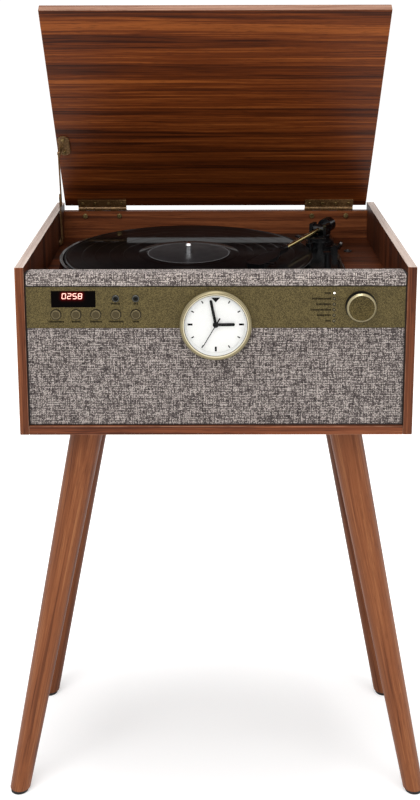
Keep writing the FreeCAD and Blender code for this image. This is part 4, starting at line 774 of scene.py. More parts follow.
class GrainWay(Enum):
    """How an object's axes are turned, in degrees, to bring its grain along X."""

    LEVEL = (0.0, 0.0, 0.0)
    BACKWARDS = (0.0, 0.0, -90.0)
    UPRIGHT = (0.0, 90.0, 0.0)
    LID = (55.0, 0.0, 0.0)
    LEG_LEFT = (0.0, 78.7, 0.0)
    LEG_RIGHT = (0.0, 101.3, 0.0)


def three_tones(tones: Three) -> dict[str, Colour]:
    """The dark, middle and light inputs of a pattern."""
    return dict(zip(("Dark", "Middle", "Light"), map(shade, tones)))


@dataclass(frozen=True)
class Finish:
    """A named finish that becomes one material."""

    name: str

    def material(self) -> bpy.types.Material:
        """The finish's material, made once.

        Returns:
            The material.
        """
        label = f"{self.name}_finish"
        found = bpy.data.materials.get(label)
        if found:
            return found
        made = bpy.data.materials.new(label)
        made.use_nodes = True
        bench = Bench(made.node_tree)
        bench.fill(made.node_tree.nodes["Principled BSDF"], self.paint(bench))
        return made

    def paint(self, bench: Bench) -> dict[str, Feed]:
        """The nodes of the finish.

        Args:
            bench: The material's tree.

        Returns:
            What goes into the Principled shader's sockets.
        """
        raise NotImplementedError

    def effect(self, bench: Bench, kind: Effect, inputs: dict[str, Feed]) -> Sockets:
        """One shared effect's outputs."""
        return bench.add("ShaderNodeGroup", inputs, node_tree=kind.tree()).outputs

    def spot(self, bench: Bench, turn: Point = (0, 0, 0), shift: Point = (0, 0, 0)) -> bpy.types.NodeSocket:
        """Object coordinates, turned by degrees and then moved by metres."""
        inputs = {"Vector": bench.add("ShaderNodeTexCoord").outputs["Object"], "Location": shift}
        return bench.add("ShaderNodeMapping", {**inputs, "Rotation": np.radians(turn).tolist()}).outputs[0]

    def bump(self, bench: Bench, height: Feed, depth: float, strength: float) -> bpy.types.NodeSocket:
        """The normal of a surface raised by a height, whose depth is in metres."""
        inputs = {"Height": height, "Distance": depth, "Strength": strength}
        return bench.add("ShaderNodeBump", inputs).outputs[0]


@dataclass(frozen=True)
class Walnut(Finish):
    """Satin walnut veneer.

    Args:
        browns: Its dark, middle and light brown.
        way: How its grain lies.
        shift: Which place of the log it is cut from, in metres.
        coat: Weight of its lacquer.
        shine: Strength of its own gloss.
        worn: The colour of its rubbed edges, if they are.
    """

    browns: Three
    way: GrainWay
    shift: tuple[float, float, float] = (0.0, 0.0, 0.0)
    coat: float = 0.0
    shine: float = 0.14
    worn: Tone | None = None

    def paint(self, bench: Bench) -> dict[str, Feed]:
        """Grain in three browns under a thin satin coat, rubbed pale on marked edges.

        Args:
            bench: The material's tree.

        Returns:
            What goes into the shader's sockets.
        """
        spot = self.spot(bench, self.way.value, self.shift)
        grain = self.effect(bench, Grain(), {"Vector": spot, **three_tones(self.browns)})
        colour = grain["Color"]
        if self.worn:
            inputs = {"Vector": spot, "Color": colour, "Bare": shade(self.worn), "Edge": bench.mark()}
            colour = self.effect(bench, Wear(), inputs)["Color"]
        return {
            "Base Color": colour,
            "Roughness": grain["Roughness"],
            "Specular IOR Level": self.shine,
            "Coat Weight": self.coat,
            "Coat Roughness": 0.28,
            "Normal": self.bump(bench, grain["Height"], depth=0.0001, strength=0.5),
        }


@dataclass(frozen=True)
class Tweed(Finish):
    """Grey grille cloth.

    Args:
        greys: Its dark, middle and light grey.
        pitch: From thread to thread, in metres.
    """

    greys: Three
    pitch: float = 0.00098

    def paint(self, bench: Bench) -> dict[str, Feed]:
        """A flecked plain weave with a soft sheen.

        Args:
            bench: The material's tree.

        Returns:
            What goes into the shader's sockets.
        """
        inputs = {"Vector": self.spot(bench), "Pitch": self.pitch, **three_tones(self.greys)}
        weave = self.effect(bench, Weave(), inputs)
        return {
            "Base Color": weave["Color"],
            "Roughness": weave["Roughness"],
            "Sheen Weight": 0.15,
            "Specular IOR Level": 0.2,
            "Normal": self.bump(bench, weave["Height"], depth=0.0005, strength=0.8),
        }


@dataclass(frozen=True)
class Mottled(Finish):
    """Paint, plastic, rubber, paper or aged metal with a fine grain.

    Args:
        base: Its colour.
        fleck: The colour of its grain.
        cells: Cells of the grain a metre.
        amount: How much of the fleck shows.
        rough: Its least and its greatest roughness.
        metallic: 1 for metal.
        drift: How much slow drift is in the grain.
        shine: Strength of its gloss.
    """

    base: Tone
    fleck: Tone
    cells: float
    amount: float
    rough: tuple[float, float]
    metallic: float = 0.0
    drift: float = 0.4
    shine: float = 0.5

    def mottle(self, bench: Bench) -> Sockets:
        """The grain's colour, gloss and height.

        Args:
            bench: The material's tree.

        Returns:
            The effect's outputs.
        """
        inputs = {
            "Vector": self.spot(bench),
            "Base": shade(self.base),
            "Fleck": shade(self.fleck),
            "Cells": self.cells,
            "Amount": self.amount,
            "Drift": self.drift,
            "Low": self.rough[0],
            "High": self.rough[1],
        }
        return self.effect(bench, Mottle(), inputs)

    def paint(self, bench: Bench) -> dict[str, Feed]:
        """A base colour flecked by a fine mottle, which also breaks up the gloss.

        Args:
            bench: The material's tree.

        Returns:
            What goes into the shader's sockets.
        """
        mottle = self.mottle(bench)
        return {
            "Base Color": mottle["Color"],
            "Roughness": mottle["Roughness"],
            "Metallic": self.metallic,
            "Specular IOR Level": self.shine,
            "Normal": self.bump(bench, mottle["Height"], depth=0.00003, strength=0.6),
        }


@dataclass(frozen=True)
class Vinyl(Mottled):
    """Pressed vinyl, whose fine grooves stretch the light across them.

    Args:
        stretch: How far the grooves draw the light out.
    """

    stretch: float = 0.0

    def paint(self, bench: Bench) -> dict[str, Feed]:
        """A mirror gloss over a sheen that is drawn out at right angles to the grooves, with a trace of dust.

        Args:
            bench: The material's tree.

        Returns:
            What goes into the shader's sockets.
        """
        mottle = self.mottle(bench)
        return {
            "Base Color": mottle["Color"],
            "Roughness": mottle["Roughness"],
            "Specular IOR Level": 0.03,
            "Anisotropic": self.stretch,
            "Anisotropic Rotation": 0.25,
            "Coat Weight": 0.3,
            "Coat Roughness": 0.03,
            "Tangent": bench.add("ShaderNodeTangent", direction_type="UV_MAP", uv_map="around").outputs[0],
        }


@dataclass(frozen=True)
class LatheTurned(Finish):
    """Metal finished on a lathe.

    Args:
        base: Its colour.
        bright: The colour of its brighter rings.
        cells: Rings a millimetre.
        metallic: 1 for bare metal.
    """

    base: Tone
    bright: Tone
    cells: float
    metallic: float

    def paint(self, bench: Bench) -> dict[str, Feed]:
        """Rings that follow the radius that the turned piece carries at each point.

        Args:
            bench: The material's tree.

        Returns:
            What goes into the shader's sockets.
        """
        inputs = {"Base": shade(self.base), "Bright": shade(self.bright), "Cells": self.cells}
        rings = self.effect(bench, Rings(), {"Radius": bench.mark(), **inputs})
        return {
            "Base Color": rings["Color"],
            "Roughness": rings["Roughness"],
            "Metallic": self.metallic,
            "Normal": self.bump(bench, rings["Height"], depth=0.00002, strength=0.6),
        }


@dataclass(frozen=True)
class Pane(Finish):
    """Clear glass."""

    tint: Tone

    def paint(self, bench: Bench) -> dict[str, Feed]:
        """A clear pane with a faint smear in its gloss.

        Args:
            bench: The material's tree.

        Returns:
            What goes into the shader's sockets.
        """
        smear = bench.noise(self.spot(bench), cells=60.0, detail=3.0)
        gloss = bench.ease(smear, 0.4, 0.7, 0.0, 0.04)
        return {"Base Color": shade(self.tint), "Roughness": gloss, "Transmission Weight": 1.0, "IOR": 1.02}


@dataclass(frozen=True)
class Glowing(Finish):
    """A lit sign or lamp.

    Args:
        base: The colour of its lens.
        glow: The colour of its light.
        strength: Of its light, where 1 is a full screen.
    """

    base: Tone
    glow: Tone
    strength: float

    def paint(self, bench: Bench) -> dict[str, Feed]:
        """A lens that gives light of its own, slightly uneven.

        Args:
            bench: The material's tree.

        Returns:
            What goes into the shader's sockets.
        """
        uneven = bench.noise(self.spot(bench), cells=900.0)
        return {
            "Base Color": bench.mix(bench.ease(uneven, 0.3, 0.7), shade(self.base), shade(self.glow)),
            "Roughness": 0.3,
            "Emission Color": shade(self.glow),
            "Emission Strength": self.strength,
        }


@dataclass(frozen=True)
class GlowPane(Glowing):
    """A dark pane with a glow round its digits."""

    def paint(self, bench: Bench) -> dict[str, Feed]:
        """The glow follows the mark that the pane carries at each point.

        Args:
            bench: The material's tree.

        Returns:
            What goes into the shader's sockets.
        """
        smear = bench.noise(self.spot(bench), cells=80.0, detail=3.0)
        return {
            "Base Color": shade(self.base),
            "Roughness": bench.ease(smear, 0.35, 0.7, 0.06, 0.16),
            "Emission Color": bench.mix(bench.mark(), BLACK, shade(self.glow)),
            "Emission Strength": self.strength,
            "Specular IOR Level": 0.02,
        }


RUBBED = (186, 140, 112)
LEG_FRONT: Three = ((94, 48, 22), (129, 73, 40), (154, 98, 60))
# Painted shade: the rear legs' browns are darker, as shade under the cabinet.
LEG_REAR_SHADED: Three = ((88, 45, 23), (118, 68, 40), (142, 90, 58))
LAMP_WHITE = (255, 252, 240)


@dataclass(frozen=True)
class Finishes:
    """Every finish on the player."""

    side: Finish = Walnut("walnut_side", ((54, 23, 12), (96, 51, 29), (128, 75, 47)), GrainWay.UPRIGHT, worn=RUBBED)
    # Painted highlight: a paler copy of the side walnut for the top faces, lit from above.
    side_top_lit: Finish = Walnut(
        "walnut_side_top", ((158, 138, 128), (186, 169, 159), (204, 191, 182)), GrainWay.BACKWARDS
    )
    # Painted shade: a darker copy of the side walnut for the inner faces, shaded inside the cabinet.
    side_inner_shaded: Finish = Walnut(
        "walnut_side_inner", ((32, 13, 7), (64, 31, 17), (90, 48, 28)), GrainWay.UPRIGHT, (0.4, 0.2, 0.0)
    )
    rail: Finish = Walnut(
        "walnut_rail", ((70, 33, 18), (116, 63, 38), (150, 92, 60)), GrainWay.LEVEL, (0.3, 0.1, 0.2), worn=RUBBED
    )
    back: Finish = Walnut("walnut_back", ((48, 20, 8), (97, 50, 25), (127, 72, 40)), GrainWay.LEVEL, (1.1, 0.4, 0.7))
    deck: Finish = Walnut("walnut_deck", ((34, 13, 5), (70, 33, 15), (96, 50, 25)), GrainWay.LEVEL, (2.2, 0.1, 1.4))
    lid: Finish = Walnut("walnut_lid", ((50, 19, 5), (100, 46, 15), (144, 77, 32)), GrainWay.LID, worn=RUBBED)
    # Painted highlight: a paler copy of the lid walnut for its front edge, which faces up when open.
    lid_edge_lit: Finish = Walnut("walnut_lid_edge", ((122, 84, 66), (152, 116, 97), (172, 138, 118)), GrainWay.LID)
    leg_left: Finish = Walnut("leg_left", LEG_FRONT, GrainWay.LEG_LEFT, coat=0.06, shine=0.16)
    leg_right: Finish = Walnut("leg_right", LEG_FRONT, GrainWay.LEG_RIGHT, coat=0.06, shine=0.16)
    leg_rear_left: Finish = Walnut("leg_rear_left", LEG_REAR_SHADED, GrainWay.LEG_LEFT)
    leg_rear_right: Finish = Walnut("leg_rear_right", LEG_REAR_SHADED, GrainWay.LEG_RIGHT)
    baffle: Finish = Mottled("baffle_stain", (18, 15, 14), (34, 29, 26), 500.0, 0.6, (0.7, 0.85))
    cloth: Finish = Tweed("grille_tweed", ((53, 45, 45), (106, 97, 94), (196, 185, 178)))
    # Painted light: a lighter copy of the tweed for the upper cloth, lit more from above.
    cloth_upper: Finish = Tweed("grille_tweed_upper", ((59, 50, 50), (118, 108, 104), (217, 205, 197)))
    strip: Finish = Mottled(
        "strip_bronze", (62, 52, 25), (107, 94, 56), 1200.0, 0.95, (0.42, 0.54), metallic=0.2, drift=0.16, shine=0.25
    )
    marks: Finish = Mottled("strip_marks", (14, 11, 6), (26, 22, 13), 900.0, 0.5, (0.6, 0.7), shine=0.05)
    button: Finish = Mottled(
        "button_bronze", (58, 49, 27), (84, 72, 43), 1600.0, 0.6, (0.3, 0.42), metallic=0.3, drift=0.2, shine=0.3
    )
    # Painted highlight: a paler copy of the button bronze for the caps' raised rims.
    button_rim: Finish = Mottled(
        "button_rim", (92, 80, 52), (122, 109, 76), 1600.0, 0.6, (0.3, 0.42), metallic=0.3, drift=0.2, shine=0.4
    )
    trim: Finish = Mottled("trim_black", (12, 12, 12), (26, 26, 27), 800.0, 0.5, (0.3, 0.45))
    nickel: Finish = Mottled("jack_nickel", (84, 84, 79), (116, 116, 109), 1500.0, 0.5, (0.25, 0.4), metallic=0.9)
    lens: Finish = Mottled("lens_dark", (98, 88, 60), (126, 115, 84), 1200.0, 0.5, (0.2, 0.3))
    lens_lit: Finish = Glowing("lens_lit", LAMP_WHITE, LAMP_WHITE, 1.6)
    pane: Finish = GlowPane("display_dark", (4, 2, 2), (200, 20, 8), 1.0)
    digits: Finish = Glowing("display_digits", (255, 204, 192), (255, 190, 176), 1.15)
    knob: Finish = Mottled(
        "knob_bronze", (50, 42, 20), (98, 85, 50), 1200.0, 1.0, (0.42, 0.54), metallic=0.1, drift=0.16, shine=0.12
    )
    # Partly painted highlight: the polished bevel's pale colour also stands in for its highlight.
    knob_bevel: Finish = LatheTurned("knob_bevel", (142, 131, 98), (182, 171, 136), 2.5, 0.5)
    bezel: Finish = LatheTurned("bezel_bronze", (118, 107, 78), (156, 145, 112), 1.5, 0.45)
    bezel_lip: Finish = LatheTurned("bezel_lip", (200, 189, 158), (226, 217, 190), 1.5, 0.3)
    glass: Finish = Pane("clock_glass", (252, 252, 251))
    dial: Finish = Mottled("dial_white", (216, 216, 215), (208, 208, 207), 900.0, 0.6, (0.5, 0.6), shine=0.2)
    ink: Finish = Mottled("dial_ink", (14, 14, 15), (26, 26, 28), 900.0, 0.5, (0.45, 0.6), shine=0.1)
    ring_ink: Finish = Mottled("dial_ring", (176, 176, 172), (196, 196, 192), 900.0, 0.5, (0.5, 0.6))
    hand: Finish = Mottled("hand_lacquer", (6, 6, 7), (14, 14, 15), 900.0, 0.5, (0.3, 0.45), shine=0.15)
    chassis: Finish = Mottled("chassis_plastic", (10, 10, 11), (20, 20, 21), 1300.0, 0.5, (0.14, 0.24))
    platter: Finish = Mottled("platter_cast", (60, 60, 62), (84, 84, 86), 600.0, 0.6, (0.35, 0.5), metallic=0.8)
    chrome: Finish = Mottled(
        "spindle_chrome", (222, 222, 224), (238, 238, 240), 400.0, 0.4, (0.06, 0.12), metallic=1.0
    )
    vinyl: Finish = Vinyl("record_vinyl", (5, 5, 6), (10, 10, 11), 700.0, 0.35, (0.45, 0.5), stretch=0.95)
    land: Finish = Vinyl("record_land", (5, 5, 6), (10, 10, 11), 700.0, 0.35, (0.35, 0.4))
    label: Finish = Mottled("label_paper", (24, 25, 27), (37, 38, 40), 700.0, 0.6, (0.34, 0.46), shine=0.35)
    label_ring: Finish = Mottled("label_ring", (104, 105, 107), (132, 133, 135), 700.0, 0.5, (0.4, 0.5))
    rubber: Finish = Mottled("rubber_black", (16, 16, 16), (30, 30, 30), 500.0, 0.5, (0.7, 0.85))
    lever: Finish = Mottled("lever_steel", (62, 59, 58), (92, 88, 85), 700.0, 0.5, (0.16, 0.26), metallic=0.8)
    gold: Finish = Mottled("tonearm_gold", (214, 192, 122), (238, 222, 162), 500.0, 0.5, (0.14, 0.24), metallic=1.0)
    head: Finish = Mottled("head_black", (9, 9, 10), (19, 19, 21), 900.0, 0.5, (0.16, 0.28))
    brass: Finish = Mottled("antique_brass", (98, 72, 42), (160, 126, 84), 420.0, 0.8, (0.3, 0.5), metallic=0.5)
    screw: Finish = Mottled("screw_brass", (128, 108, 68), (186, 162, 112), 700.0, 0.7, (0.24, 0.42), metallic=0.9)
    steel: Finish = Mottled("motor_steel", (140, 140, 142), (168, 168, 170), 600.0, 0.5, (0.3, 0.45), metallic=0.9)
    black_steel: Finish = Mottled("plate_paint", (20, 20, 20), (40, 40, 40), 700.0, 0.6, (0.45, 0.6))
    board: Finish = Mottled("circuit_green", (24, 70, 38), (44, 98, 56), 900.0, 0.6, (0.35, 0.5))
    movement: Finish = Mottled("movement_black", (18, 18, 18), (32, 32, 32), 800.0, 0.5, (0.55, 0.7))
    cone: Finish = Mottled("speaker_black", (20, 20, 20), (36, 36, 36), 600.0, 0.6, (0.6, 0.8))
    socket: Finish = Mottled("socket_black", (17, 17, 17), (32, 32, 32), 900.0, 0.5, (0.45, 0.6))
    socket_red: Finish = Mottled("socket_red", (170, 26, 24), (196, 48, 42), 700.0, 0.5, (0.35, 0.45))
    socket_white: Finish = Mottled("socket_white", (226, 226, 222), (238, 238, 236), 700.0, 0.5, (0.35, 0.45))


# Sub-assemblies


@dataclass
class Assembly:
    """One sub-assembly of the player; sizes are in millimetres and heights are from the cabinet's underside.

    Args:
        nodes: The CAD nodes.
        finish: The player's finishes.
        base: Height of the cabinet's underside above the floor.
    """

    nodes: dict[str, bpy.types.Object]
    finish: Finishes
    base: float

    def piece(
        self,
        name: str,
        surfaces: Sequence[Surface],
        finishes: Sequence[Finish],
        slot: str,
        body: str = "cabinet",
        replaces: Sequence[str] = (),
        sharp: float = 35.0,
        solid: bool = True,
    ) -> bpy.types.Object:
        """A new piece that moves with a body, lifted to the cabinet's height.

        Args:
            name: The piece's name.
            surfaces: What it is made of.
            finishes: Its finishes, in the order that the surfaces count them.
            slot: The record's finish that it stands for; not used.
            body: The body that it rides on.
            replaces: CAD nodes that it stands for.
            sharp: Edges that bend by more degrees than this stay crisp.
            solid: Whether the surfaces are closed.

        Returns:
            The piece's object.
        """
        lifted = [surface.placed(np.eye(3), (0.0, 0.0, self.base)) for surface in surfaces]
        obj = add_object(name, build_mesh(name, lifted, sharp, solid))
        for finish in finishes:
            obj.data.materials.append(finish.material())
        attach(obj, body)
        if replaces:
            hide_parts(*replaces)
        log.info("%s: %d faces on %s", name, len(obj.data.polygons), body)
        return obj

    def dress(self, finish: Finish, *names: str) -> None:
        """Give CAD nodes their finish.

        Args:
            finish: What they wear.
            names: The nodes.
        """
        for name in names:
            obj = self.nodes[name]
            if not obj.material_slots:
                obj.data.materials.append(None)
            for slot in obj.material_slots:
                slot.material = finish.material()
            log.info("%s: %s", name, finish.name)

    def build(self) -> None:
        """Make and dress the sub-assembly's pieces."""
        raise NotImplementedError


@dataclass
class Cabinet(Assembly):
    """Two veneered sides, a floor, a back and the deck inside."""

    half_width: float = 215.0
    inner_half: float = 205.0
    half_depth: float = 170.0
    low: float = 0.0
    high: float = 190.0
    panel: float = 10.0
    edge: float = 0.8
    seam: float = 0.06
    plug: tuple[float, float, float] = (171.0, 88.0, 142.0)
    plug_profile: Profile = (
        (0, 0.3, 0), (2.8, 0.3, 0.2), (3.36, 1.2, 0.3), (5.6, 1.0, 0.5), (5.6, 0.02, 0), (0, 0.02, 0)
    )

    def build(self) -> None:
        """Sides and floor with soft edges and a cable plug in the deck; the back and deck keep their solids."""
        finishes = [self.finish.side, self.finish.side_top_lit, self.finish.side_inner_shaded]
        for side, sign in zip(("left", "right"), PAIR):
            near, far = sorted((sign * self.inner_half, sign * self.half_width))
            box = rounded_box((near, -self.half_depth, self.low), (far, self.half_depth, self.high), self.edge)
            node = f"side_panel_{side}"
            piece = self.piece(f"{node}_veneer", [box], finishes, "walnut_panel", replaces=[node])
            # The top faces take the paler copy: painted highlight from above.
            band(piece.data, UP, 1)
            # The inner faces take the darker copy: painted shade inside the cabinet.
            band(piece.data, (-sign, 0.0, 0.0), 2)
        reach = self.inner_half - self.seam
        low, high = (-reach, -self.half_depth, self.low), (reach, self.half_depth, self.low + self.panel)
        floor = rounded_box(low, high, self.edge)
        self.piece("bottom_panel_veneer", [floor], [self.finish.rail], "walnut_panel", replaces=["bottom_panel"])
        self.dress(self.finish.back, "back_panel")
        self.dress(self.finish.deck, "deck_board")
        self.dress(self.finish.baffle, "front_baffle")
        plug = lathe(softened(self.plug_profile), self.plug, Axis.Z, segments=40)
        self.piece("deck_plug", [plug], [self.finish.trim], "black_trim")


@dataclass
class Lid(Assembly):
    """The lid, with its leaves, screws and the stay's plate; sizes are from the hinge, with the lid closed."""

    hinge: tuple[float, float, float] = (0.0, 164.0, 182.9)
    open_angle: float = 55.0
    half_width: float = 203.0
    front: float = -332.3
    back: float = -4.3
    low: float = 0.5
    high: float = 10.5
    edge: float = 0.9
    leaf_middle: float = 153.0
    leaf_spreads: tuple[float, ...] = (-26.0, -9.0, 9.0, 26.0)
    leaf_reach: float = -10.0
    leaf_face: float = -1.5
    plate: tuple[float, float, float] = (-194.0, -117.8, -1.7)
    plate_spread: float = 10.4
    screw_radius: float = 2.2
    screw_height: float = 0.35

    def turn(self) -> np.ndarray:
        """The matrix that opens the lid."""
        c, s = math.cos(math.radians(self.open_angle)), math.sin(math.radians(self.open_angle))
        return np.array([[1, 0, 0], [0, c, s], [0, -s, c]])

    def build(self) -> None:
        """The veneered board with soft edges, and a domed face on each screw."""
        low, high = (-self.half_width, self.front, self.low), (self.half_width, self.back, self.high)
        board = rounded_box(low, high, self.edge).placed(self.turn(), self.hinge)
        finishes = [self.finish.lid, self.finish.lid_edge_lit]
        piece = self.piece("lid_veneer", [board], finishes, "walnut_lid", "lid", ["lid_panel"])
        # The front edge takes the paler copy: painted highlight.
        band(piece.data, self.turn() @ FORWARD, 1)
        leaves = product(PAIR, self.leaf_spreads)
        spots = [(side * self.leaf_middle + spread, self.leaf_reach, self.leaf_face) for side, spread in leaves]
        x, y, z = self.plate
        spots += [(x, y + way * self.plate_spread, z) for way in PAIR]
        domes = [
            screw_dome(spot, DOWN, self.screw_radius, self.screw_height).placed(self.turn(), self.hinge)
            for spot in spots
        ]
        self.piece("lid_screw_faces", domes, [self.finish.screw], "screw_brass", "lid", sharp=50.0)
        self.dress(self.finish.brass, "hinge_lid_leaves", "stay_lid_bracket")
        self.dress(self.finish.screw, "lid_screws")


@dataclass
class Front(Assembly):
    """Tweed grille cloth stretched over the front board, above and below the control strip.

    An end has columns or rows that stand closer: how far they go, where the others start, and how many they are.
    The saving is the share of the fold's radius by which a round fold is shorter than a sharp one.
    """

    half_width: float = 203.8
    face: float = -167.0
    top: float = 183.0
    back: float = -151.0
    upper_low: float = 168.6
    fold: float = 3.0
    fold_saving: float = 0.43
    corner: float = 3.4
    low: float = 11.2
    lower_top: float = 121.3
    clock_z: float = 125.5
    clock_cut: float = 36.2
    curl: float = 0.8
    hem: float = 1.5
    thickness: float = 0.7
    upper_end: tuple[float, float, int] = (6.0, 10.0, 13)
    upper_columns: int = 160
    upper_rows: int = 8
    fold_rows: int = 9
    lower_end: tuple[float, float, int] = (3.0, 5.0, 7)
    lower_columns: int = 70
    arc_columns: int = 61
    arc_gap: float = 1.0
    foot_end: tuple[float, float, int] = (0.03, 0.05, 7)
    lower_rows: int = 60

    def build(self) -> None:
        """Two stretched sheets."""
        self.upper()
        self.lower()

    def stretched(self, node: str, finish: Finish, surface: Surface, flat: tuple[float, float], area: float) -> None:
        """One sheet of cloth with its thickness behind its face.

        Args:
            node: The CAD node that it stands for.
            finish: What it wears.
            surface: Its face.
            flat: Its width and length when flat, in metres; not used.
            area: Its area when flat, in square metres; not used.
        """
        piece = self.piece(f"{node}_weave", [surface], [finish], "grille_cloth", replaces=[node], solid=False)
        layer = piece.modifiers.new("cloth_thickness", "SOLIDIFY")
        layer.thickness = self.thickness * MM
        layer.offset = -1.0

    def upper(self) -> None:
        """A line that goes up the face, round the board's top edge and back, carried across.

        Its ends fall off along a quarter circle.
        """
        close, start, count = self.upper_end
        width = 2 * self.half_width
        end = np.linspace(0, close, count)
        x = np.unique(np.r_[end, np.linspace(start, width - start, self.upper_columns), width - end]) - self.half_width
        arc = np.linspace(0, np.pi / 2, self.fold_rows)
        rise = np.linspace(self.upper_low, self.top - self.fold, self.upper_rows)[:-1]
        run = np.linspace(self.face + self.fold, self.back, self.upper_rows)[1:]
        y = np.r_[np.full(len(rise), self.face), self.face + self.fold * (1 - np.cos(arc)), run]
        z = np.r_[rise, self.top - self.fold * (1 - np.sin(arc)), np.full(len(run), self.top)]
        inset = np.clip(self.half_width - np.abs(x), 0, self.corner)
        fall = self.corner - np.sqrt(self.corner**2 - (self.corner - inset) ** 2)
        height = np.minimum(z[:, None], self.top - fall[None, :])
        points = np.stack(np.broadcast_arrays(x[None, :], y[:, None], height), axis=-1).reshape(-1, 3)
        length = (self.top - self.upper_low) + (self.back - self.face) - self.fold_saving * self.fold
        flat = (width * MM, length * MM)
        surface = Surface(points, grid_quads(len(y), len(x)))
        # The upper sheet wears the lighter copy of the tweed: painted light.
        self.stretched("grille_cloth_upper", self.finish.cloth_upper, surface, flat, flat[0] * flat[1])

    def lower(self) -> None:
        """A flat sheet whose upper edge follows the strip and, below the clock, the circle z = c - sqrt(r^2 - x^2).

        Its sides and foot curl back by the square of the way into the hem.
        """
        reach = math.acos((self.clock_z - self.lower_top) / self.clock_cut)
        bend = self.clock_cut * np.sin(np.linspace(-reach, reach, self.arc_columns))
        close, start, count = self.lower_end
        wing = np.linspace(start, self.half_width - bend[-1] - self.arc_gap, self.lower_columns)
        left = np.r_[np.linspace(0, close, count), wing] - self.half_width
        x = np.r_[left, bend, -left[::-1]]
        drop = np.sqrt(np.clip(self.clock_cut**2 - x**2, 0, None))
        upper = np.where(np.abs(x) < bend[-1], np.minimum(self.clock_z - drop, self.lower_top), self.lower_top)
        close, start, count = self.foot_end
        share = np.r_[np.linspace(0, close, count), np.linspace(start, 1, self.lower_rows)][:, None]
        z = self.low + share * (upper - self.low)[None, :]
        side = np.clip(self.hem - (self.half_width - np.abs(x)), 0, self.hem)[None, :] / self.hem
        foot = np.clip(self.hem - (z - self.low), 0, self.hem) / self.hem
        y = self.face + self.curl * np.maximum(side, foot) ** 2
        points = np.stack(np.broadcast_arrays(x[None, :], y, z), axis=-1).reshape(-1, 3)
        sector = self.clock_cut**2 * (reach - math.sin(reach) * math.cos(reach))
        flat = (2 * self.half_width * MM, (self.lower_top - self.low) * MM)
        area = flat[0] * flat[1] - sector * MM * MM
        surface = Surface(points, grid_quads(*z.shape))
        self.stretched("grille_cloth_lower", self.finish.cloth, surface, flat, area)


SEGMENT_ENDS = {
    "a": (0, 1, 1, 1),
    "b": (1, 0.5, 1, 1),
    "c": (1, 0, 1, 0.5),
    "d": (0, 0, 1, 0),
    "e": (0, 0, 0, 0.5),
    "f": (0, 0.5, 0, 1),
    "g": (0, 0.5, 1, 0.5),
}
SEGMENTS = {"0": "abcdef", "2": "abged", "5": "afgcd", "8": "abcdefg"}


